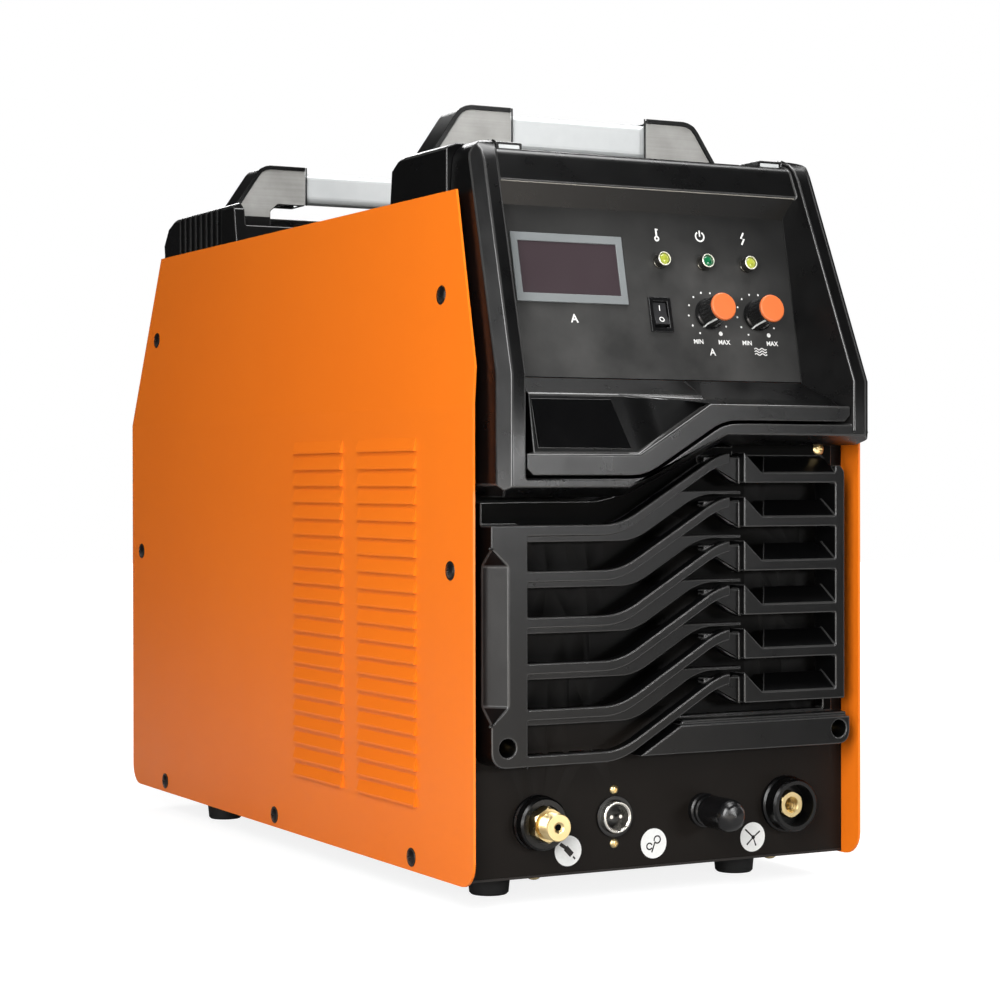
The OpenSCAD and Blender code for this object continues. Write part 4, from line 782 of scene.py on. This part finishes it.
# %% [markdown]
# ## Lamp rims
# Each signal lamp sits in a nickel bezel whose rim is rolled over the lens. The bezels are
# the model's own, in nickel darkened as painted shade, and a thin pale ring on each is a
# painted highlight along the rim.

# %% Lamp rims
LAMP_X, LAMP_PITCH, LAMP_S = 5.4, 31.8, 75.5

lamp_seats = [panel_seat.moved(LAMP_X + number * LAMP_PITCH, LAMP_S) for number in range(3)]
rim_profile = eased([[3.74, 5.6], [4.45, 5.6], [4.45, 6.4], [4.1, 6.75], [3.74, 6.6], [3.74, 5.6]], 0.15)
seated("lamp_rims", joined([turned(rim_profile, seat, 48) for seat in lamp_seats]), "bright_metal",
       finish="lamp_rim_highlight")

# %% [markdown]
# ## Print on the panel
# Screen print is a film of paint a tenth of a millimetre thick. A picture on the panel
# would blur close up, so every mark is a thin solid: a stroke of some width along a line.
# One function then draws scales, rings and symbols, and words come from a text curve that
# is made a mesh before it is laid on the panel.

# %% Strokes
PRINT_LOW, PRINT_HIGH = -0.03, 0.09


def stroke(line, width, seat, closed=False, high=PRINT_HIGH):
    """The line moved half a width to each side of its own direction, at two heights."""
    line = np.asarray(line, float)
    ahead = np.roll(line, -1, 0) - line if closed else np.gradient(line, axis=0)
    if closed:
        ahead = (ahead + line - np.roll(line, 1, 0)) / 2
    ahead = ahead / (np.linalg.norm(ahead, axis=1, keepdims=True) + 1e-12)
    side = np.stack([-ahead[:, 1], ahead[:, 0]], -1) * width / 2
    left, right = line + side, line - side
    low, top = np.full((len(line), 1), PRINT_LOW), np.full((len(line), 1), high)
    rows = [np.hstack(pair) for pair in ((left, low), (right, low), (right, top), (left, top))]
    points = seat.at(np.stack(rows, 1).reshape(-1, 3))
    ends = [] if closed else [list(range(4)), list(range(len(line) * 4 - 4, len(line) * 4))]
    return points, quads(len(line), 4, closed, True).tolist() + ends


def ring(x, y, radius, start=0.0, end=360.0, steps=40):
    """Points at a radius round (x, y) from one angle to another, in degrees."""
    a = np.radians(np.linspace(start, end, steps, endpoint=abs(end - start) < 359.9))
    return np.stack([x + radius * np.cos(a), y + radius * np.sin(a)], -1)


def dot(x, y, radius, seat, high=PRINT_HIGH):
    """A disc: a closed profile of its radius, turned."""
    return turned([[0, PRINT_LOW], [radius, PRINT_LOW], [radius, high], [0, high]], seat.moved(x, y), 28)


print("the print stands", PRINT_HIGH, "mm out")


# %% Words
def words(text, x, y, size, seat):
    """A text curve made a mesh, centred on x with its base line at y, laid on the seat."""
    curve = bpy.data.curves.new(text, "FONT")
    curve.body, curve.size, curve.align_x = text, size, "CENTER"
    curve.extrude, curve.resolution_u, curve.offset = (PRINT_HIGH - PRINT_LOW) / 2, 4, 0.015 * size
    holder = bpy.data.objects.new(text, curve)
    bpy.context.scene.collection.objects.link(holder)
    bpy.context.view_layer.update()
    mesh = bpy.data.meshes.new_from_object(holder.evaluated_get(bpy.context.evaluated_depsgraph_get()))
    points = np.empty(len(mesh.vertices) * 3)
    mesh.vertices.foreach_get("co", points)
    points = points.reshape(-1, 3) + [x, y, (PRINT_HIGH + PRINT_LOW) / 2]
    faces = [list(face.vertices) for face in mesh.polygons]
    bpy.data.objects.remove(holder)
    bpy.data.curves.remove(curve)
    bpy.data.meshes.remove(mesh)
    return seat.at(points), faces


print("MIN takes", len(words("MIN", 0, 0, 4.0, panel_seat)[1]), "faces")

# %% [markdown]
# Each knob has a scale of twelve dots, the last one large, between MIN and MAX. The
# current's dial and display carry an A for amperes; the purge dial has three waves of
# air.

# %% Dials
DIAL_R, DIAL_SWEEP, DIAL_DOTS, DIAL_WORD_S = 14.3, math.radians(296), 12, 23.6

marks = []
for number in range(2):
    x = KNOB_X + number * KNOB_PITCH
    angles = np.linspace(POINTER, POINTER - DIAL_SWEEP, DIAL_DOTS)
    for spot, a in enumerate(angles):
        size = 0.62 + 0.75 * (spot == DIAL_DOTS - 1)
        marks.append(dot(x + DIAL_R * math.cos(a), KNOB_S + DIAL_R * math.sin(a), size, panel_seat))
    marks.append(words("MIN", x - 9.4, DIAL_WORD_S, 4.0, panel_seat))
    marks.append(words("MAX", x + 9.4, DIAL_WORD_S, 4.0, panel_seat))
marks.append(words("A", KNOB_X, 16.4, 6.2, panel_seat))
marks.append(words("A", -59.8, 34.6, 7.4, panel_seat))
run = np.linspace(0, 1, 25)
for lift in (0.0, 1.7, 3.4):
    wave = np.stack([9.0 * run - 4.5, 0.55 * np.sin(4 * np.pi * run) + 17.8 + lift], -1)
    marks.append(stroke(wave + [KNOB_X + KNOB_PITCH, 0], 0.6, panel_seat))
print(len(marks), "marks round the dials")

# %% [markdown]
# Over the lamps stand the usual signs for heat, power and output: a thermometer, a
# broken ring with a bar, and a bolt.

# %% Lamp symbols
SYMBOL_UP = 17.5

heat, power, output = (seat.moved(0, SYMBOL_UP) for seat in lamp_seats)
marks.append(stroke([[0, -1.6], [0, 3.6]], 1.2, heat))
marks.append(stroke(ring(0, -2.8, 1.3), 1.0, heat, True))
marks.append(stroke([[0, 3.0], [1.5, 3.0]], 0.7, heat))
marks.append(stroke(ring(0, 0, 3.0, 122, 418), 0.95, power))
marks.append(stroke([[0, 0], [0, 3.9]], 0.95, power))
marks.append(stroke([[1.1, 3.9], [-1.1, 0.2], [1.2, -0.2], [-1.0, -3.9]], 1.15, output))
seated("panel_print", joined(marks), "grey_panel", finish="white_print")

# %% [markdown]
# ## Marks on the rocker
# I and O are printed on the two halves of the dished face, which lean back by different
# angles. They ride on the rocker, so they tilt with it.

# %% Rocker marks
upper, lower = leaning([1.0, 19.18, 343.15], 12.9), leaning([1.0, 16.53, 336.45], 30.3)
rocker_marks = [stroke([[0, -1.7], [0, 1.7]], 0.6, upper), stroke(ring(0, -0.4, 1.5), 0.5, lower, True)]
seated("rocker_marks", joined(rocker_marks), "switch_black", "purge_rocker", finish="white_print")

# %% [markdown]
# ## Signs on the front plate
# Three pale discs tell which lead goes where: a nozzle, a plug and a clamp. Each sign is
# its centre and a few strokes round it, as (line, width, closed), drawn in the plate's
# own dark colour on top of the disc.

# %% Signs
DISC_R, DISC_HIGH, SIGN_HIGH = 9.2, 0.10, 0.16
SIGNS = {
    "nozzle": ((-64.7, 15.4), [([[-5.5, 4.5], [-1.0, 1.5]], 2.2, False),
                               ([[-1.8, 2.0], [2.6, -2.6]], 3.6, False),
                               ([[3.4, -3.6], [4.8, -5.2]], 1.1, False)]),
    "plug": ((-4.5, 15.6), [(ring(2.6, 2.2, 2.2, -150, 200), 0.9, False),
                            ([[0.9, 0.6], [-1.4, -5.4]], 0.9, False),
                            (ring(-3.0, -1.6, 1.9, 20, 330), 0.9, False)]),
    "clamp": ((68.2, 14.4), [([[-5.6, 5.2], [0.4, -0.2], [5.4, 3.4]], 1.1, False),
                             ([[-4.4, -4.6], [0.4, -0.2], [2.4, -5.6]], 1.1, False),
                             (ring(0.4, -0.2, 0.9), 0.8, True)]),
}
discs, symbols = [], []
for (x, z), lines in SIGNS.values():
    seat = on_front(x, z)
    discs.append(dot(0, 0, DISC_R, seat, DISC_HIGH))
    symbols += [stroke(line, width, seat, closed, SIGN_HIGH) for line, width, closed in lines]
seated("sign_discs", joined(discs), "dark_sheet", finish="white_print")
seated("sign_symbols", joined(symbols), "dark_sheet", finish="dark_sheet")

# %% [markdown]
# ## Handle faces
# Each black bracket carries a plate of brushed metal, held by a raised rim along its top
# and its sloping outer edge. The plate is a flat outline with a thin return, the rim a
# band of constant width along the same line, so the two can't drift apart.

# %% Flat plates
def slab(outline, seat, low, high):
    """A closed outline in (x, y) at two heights, walls between them and a lid at each."""
    outline = np.asarray(outline, float)
    n = len(outline)
    rows = [np.hstack([outline, np.full((n, 1), height)]) for height in (low, high)]
    walls = quads(2, n, False, True).tolist()
    return seat.at(np.concatenate(rows)), walls + [list(range(n))] + [list(range(n, 2 * n))]


print("a square slab has", len(slab([[0, 0], [1, 0], [1, 1], [0, 1]], panel_seat, 0, 1)[1]), "faces")

# %% Handle plates and rims
HANDLE_TOP, BAR_HALF, FRONT_HANDLE_Y, REAR_HANDLE_Y = 474.5, 49.0, 115.6, 443.6
RIM_LINE = eased([[BAR_HALF + 1.6, -0.9], [79.0, -0.9], [82.6, -1.6], [86.4, -3.4], [89.2, -6.6],
                  [93.0, -12.2], [97.3, -18.6], [101.4, -24.6], [110.6, -38.4]], 0.9, 4)


def handle_face(name, y):
    """Plates and rims of both brackets of the handle whose front face is at y."""
    plates, rims = [], []
    for mirror in (-1, 1):
        seat = Seat([0, y, HANDLE_TOP], [mirror, 0, 0], [0, 0, 1], [0, -1, 0])
        inner = RIM_LINE + [-1.2, -1.0]
        outline = np.concatenate([[[BAR_HALF + 1.5, -27.9]], [[BAR_HALF + 1.5, -2.4]], inner[2:],
                                  [[97.0, -38.2], [79.2, -38.2], [79.2, -33.4], [73.0, -27.9]]])
        plates.append(slab(outline, seat, -0.05, 0.35))
        by_bar = [[BAR_HALF + 0.5, 0.5], [BAR_HALF + 0.5, -28.2]]
        rims += [stroke(RIM_LINE, 3.0, seat, high=1.3), stroke(by_bar, 1.2, seat, high=0.6)]
    seated(name + "_face_plates", joined(plates), "grey_moulding", finish="handle_plate")
    rim = seated(name + "_face_rims", joined(rims), "grey_moulding")
    soften = rim.modifiers.new("rounding", "BEVEL")
    soften.width, soften.segments, soften.limit_method = 0.0004, 2, "ANGLE"


handle_face("front_handle", FRONT_HANDLE_Y)
handle_face("rear_handle", REAR_HANDLE_Y)

# %% [markdown]
# ## Side screws
# Seven black washer-head screws hold each side sheet, the upper ones on the part that
# leans in. A head is a low dome on a flat washer with a cross sunk in its middle. Cut
# with a boolean, fourteen crosses would be slow and rough; here the cross only lowers
# the height of the points that lie in it.

# %% Side screws
SHEET_OUT, BEND_H, SIDE_TILT = 138.0, 282.0, math.atan(7.4 / 128.5)
SCREWS = [[28.7, 184.6], [81.9, 8.4], [296.5, 8.4], [512.0, 8.4], [563.5, 183.4], [47.4, 348.4],
          [538.2, 347.2]]
HEAD_STEPS, CROSS_HALF, CROSS_R, CROSS_DEEP = 64, 0.5, 2.5, 0.9


def screw_head(y, z, side):
    """Height is 1.85 less 0.055 times the square of the radius, 0.9 less inside the cross."""
    tilt = SIDE_TILT if z > BEND_H else 0.0
    lean_in = max(z - BEND_H, 0.0) * math.tan(SIDE_TILT)
    up, out = [-side * math.sin(tilt), 0, math.cos(tilt)], [side * math.cos(tilt), 0, math.sin(tilt)]
    seat = Seat([side * (SHEET_OUT - lean_in), y, z], [0, side, 0], up, out)
    dome_r = np.array([4.3, 3.8, 3.2, 2.6, 2.4, 1.8, 1.2, 0.6, 0.0])
    r = np.concatenate([[5.6, 5.8, 5.6, 4.5], dome_r])[None, :]
    height = np.concatenate([[0.0, 0.35, 0.6, 0.6], 1.85 - 0.055 * dome_r ** 2])[None, :]
    a = np.linspace(0, 2 * np.pi, HEAD_STEPS, endpoint=False)[:, None]
    across, along = r * np.cos(a), r * np.sin(a)
    cross = (np.minimum(np.abs(across), np.abs(along)) < CROSS_HALF) & (r < CROSS_R)
    points = np.stack([across, along, height - CROSS_DEEP * cross], -1).reshape(-1, 3)
    back = [list(range(0, HEAD_STEPS * r.size, r.size))]
    return seat.at(points), quads(HEAD_STEPS, r.size, True, False).tolist() + back


heads = [screw_head(y, z, side) for side in (-1, 1) for y, z in SCREWS]
seated("side_screw_heads", joined(heads), "black_screw", replaces=["side_panel_screws"])

# %% [markdown]
# ## Pads on the hood's upper corners
# Where the front handle meets the hood, two pale metal pads in thin black frames show on
# the top edge. Both are rounded rectangles, the frame a little larger and further back.

# %% Hood pads
def rounded_plate(half_width, low, high, radius, seat, back, front):
    """A rectangle with eased corners, from a depth behind the face to one in front of it."""
    corners = [[-half_width, low], [half_width, low], [half_width, high], [-half_width, high]]
    return slab(eased(corners, radius, 4, True), seat, back, front)


pad_seats = [leaning([side * 94.1, 37.3, 436.9], 0.0) for side in (-1, 1)]
pads = [rounded_plate(7.0, -2.0, 2.2, 0.5, seat, -2.0, 0.9) for seat in pad_seats]
pad_frames = [rounded_plate(8.8, -3.2, 3.6, 0.9, seat, -6.5, 0.6) for seat in pad_seats]
seated("hood_pads", joined(pads), "black_moulding", finish="bar_aluminium")
seated("hood_pad_frames", joined(pad_frames), "black_moulding")

# %% [markdown]
# ## The lip over the panel
# The hood's lip slopes back underneath, so that its underside catches light from the
# floor, and ends in a bead whose pale colour is a painted highlight. Both run straight
# across the hood, so each is an outline in the side view carried from cheek to cheek.

# %% The lip's soffit and bead
def bar_along_x(profile, half_width, taper):
    """A closed outline in (y, z) carried from one side to the other, its lower rows drawn in."""
    profile = np.asarray(profile, float)
    low, high = profile[:, 1].min(), profile[:, 1].max()
    reach = half_width - taper * (high - profile[:, 1]) / (high - low)
    rows = [np.column_stack([side * reach, profile]) for side in (-1, 1)]
    n = len(profile)
    lids = [list(range(n)), list(range(n, 2 * n))]
    return in_metres(np.concatenate(rows)), quads(2, n, False, True).tolist() + lids


soffit = [[26.4, 416.4], [33.9, 401.2], [40.0, 401.2], [40.0, 416.4]]
bead = eased([[25.7, 416.9], [25.6, 416.2], [26.3, 415.9], [27.2, 416.4], [26.8, 417.2]], 0.3, 4, True)
seated("lip_soffit", bar_along_x(soffit, 106.0, 1.0), "black_moulding")
# The bead's pale colour is a painted highlight.
seated("lip_edge", bar_along_x(bead, 105.6, 0.0), "black_moulding", finish="painted_bead_highlight")

# %% [markdown]
# ## The pieces that stay as they are
# Everything that no copy or new piece stands for keeps the model's own mesh and only
# gets its finish: the sheets, feet, sockets and all that is inside the case.

# %% Finishes on the nodes
for name, node in frame["nodes"].items():
    node.data.materials.clear()
    node.data.materials.append(finish_of(name))
print(len(frame["nodes"]), "nodes finished")

# %% [markdown]
# ## Floor
# The unit stands on a pale seamless floor that fades into the white behind it. Plain
# white paper would light the orange from below and wash it out. So the paper itself is
# grey, the camera alone sees a lift of white on it, growing with distance, and only
# mirror rays see a warm card in front of the unit, which brightens the lower bevels.

# %% Floor disc
def floor_disc(name, radius, rings=24, spokes=96):
    """Points at radius r and angle a, r growing evenly: x = r cos a, y = r sin a, z = 0."""
    r = np.linspace(0.02, radius, rings)[:, None]
    a = np.linspace(0, 2 * np.pi, spokes, endpoint=False)[None, :]
    points = np.stack([r * np.cos(a), r * np.sin(a), 0 * r * a], -1).reshape(-1, 3)
    i, j = np.meshgrid(np.arange(rings - 1), np.arange(spokes), indexing="ij")
    k = (j + 1) % spokes
    faces = np.stack([i * spokes + j, (i + 1) * spokes + j, (i + 1) * spokes + k, i * spokes + k], -1)
    middle = [list(range(spokes))]
    mesh = bpy.data.meshes.new(name)
    mesh.from_pydata(points.tolist(), [], faces.reshape(-1, 4).tolist() + middle)
    made = bpy.data.objects.new(name, mesh)
    bpy.context.scene.collection.objects.link(made)
    return made


FLOOR_R = 6.0
floor = floor_disc("floor", FLOOR_R)
print("floor radius", FLOOR_R, "m")

# %% Floor paper
paper = Finish("paper", (0.38, 0.38, 0.38), 0.9)


def glow(strength, colour=(1.0, 1.0, 1.0)):
    """Light given off by the paper."""
    return paper.add("Emission", {}, {"Color": (*colour, 1.0), "Strength": strength})


def either(share, first, second):
    """The first shader where the share is 0, the second where it is 1."""
    return paper.add("MixShader", {}, {0: share, 1: first, 2: second})


seen = paper.add("LightPath", out="Is Camera Ray")
mirrored = paper.add("LightPath", out="Is Glossy Ray")
right, back = paper.axis("X"), paper.axis("Y")
radius = paper.add("VectorMath", {"operation": "LENGTH"}, {0: paper.place()}, "Value")
away = ((radius - 0.5) * 1.2).clamped()
in_front = ((-0.45 - back) * 3.0).clamped() * ((1.6 + back) * 2.0).clamped()
card_area = in_front * ((0.45 - right) * 3.0).clamped()
dark = glow(0.0, (0.0, 0.0, 0.0))
surface = either(seen * (away * 0.75 + 0.25), Wire(paper, paper.shader.outputs[0]), glow(1.0))
lift = either(seen, dark, glow(0.60))
card = either(mirrored * card_area, dark, glow(3.0, (1.0, 0.90, 0.78)))
whole = paper.add("AddShader", {}, {0: paper.add("AddShader", {}, {0: surface, 1: lift}), 1: card})
paper.plug(paper.tree.nodes["Material Output"].inputs["Surface"], whole)
floor.data.materials.append(paper.material)
print("paper has", len(paper.tree.nodes), "nodes")

# %% [markdown]
# ## Sky
# White all round looks right behind the unit and wrong in it: black plastic would mirror
# it and turn grey. The Light Path node tells the rays apart, so the camera sees full
# white, mirror rays nearly nothing, and every other ray a dim even dome.

# %% Sky
DOME, SEEN, MIRRORED = 0.14, 1.0, 0.035

world = bpy.data.worlds.new("dome")
bpy.context.scene.world = world
world.use_nodes = True
sky = world.node_tree


def sky_math(operation, first, second):
    """One Math node in the sky's tree; its output."""
    node = sky.nodes.new("ShaderNodeMath")
    node.operation = operation
    for socket, value in zip(node.inputs, (first, second)):
        if isinstance(value, float):
            socket.default_value = value
        else:
            sky.links.new(value, socket)
    return node.outputs[0]


rays = sky.nodes.new("ShaderNodeLightPath").outputs
clear = sky_math("MAXIMUM", rays["Is Camera Ray"], rays["Is Transmission Ray"])
to_camera = sky_math("MULTIPLY", clear, SEEN - DOME)
to_mirror = sky_math("MULTIPLY", rays["Is Glossy Ray"], MIRRORED - DOME)
strength = sky_math("ADD", sky_math("ADD", to_camera, to_mirror), DOME)
backdrop = sky.nodes["Background"]
backdrop.inputs["Color"].default_value = (1, 1, 1, 1)
sky.links.new(strength, backdrop.inputs["Strength"])
print("dome", DOME, "mirrored", MIRRORED)

# %% [markdown]
# ## Soft boxes
# Black plastic shows its shape by what it mirrors, so each box stands where some faces
# mirror it into the camera. The key box lights the orange from the left, the top box
# draws the upper edges, the front box lifts the panel. The low box gives upright front
# faces their sheen, the left low box the bevels that face left. The rear and right boxes
# are for the sides that the main view doesn't show.

# %% Soft boxes
def soft_box(name, place, target, size, watts):
    """A rectangular light at a place, facing a target, both in metres."""
    lamp = bpy.data.lights.new(name, "AREA")
    lamp.shape = "RECTANGLE"
    lamp.size, lamp.size_y = size
    lamp.energy = watts
    holder = bpy.data.objects.new(name, lamp)
    bpy.context.scene.collection.objects.link(holder)
    holder.rotation_mode = "QUATERNION"
    holder.location = place
    aim = Vector(place) - Vector(target)
    holder.rotation_quaternion = aim.to_track_quat("Z", "Y")
    print(name, watts, "W")


soft_box("key_box", (-1.05, -1.30, 0.75), (0, -0.25, 0.25), (0.5, 1.2), 30)
soft_box("top_box", (0.35, -0.5, 1.9), (0, -0.1, 0.3), (1.6, 0.6), 33)
soft_box("front_box", (-1.0, -2.3, 1.3), (0, -0.2, 0.25), (0.6, 0.6), 6)
soft_box("low_box", (0.66, -2.0, 0.39), (0, -0.25, 0.25), (0.5, 0.2), 9)
soft_box("left_low_box", (-1.3, -0.9, 0.16), (0, -0.3, 0.2), (0.3, 0.3), 2.5)
soft_box("rear_box", (0.8, 1.9, 1.3), (0, 0.1, 0.2), (1.0, 0.8), 22)
soft_box("right_box", (1.6, -0.3, 0.5), (0, -0.1, 0.25), (0.5, 1.4), 3.5)
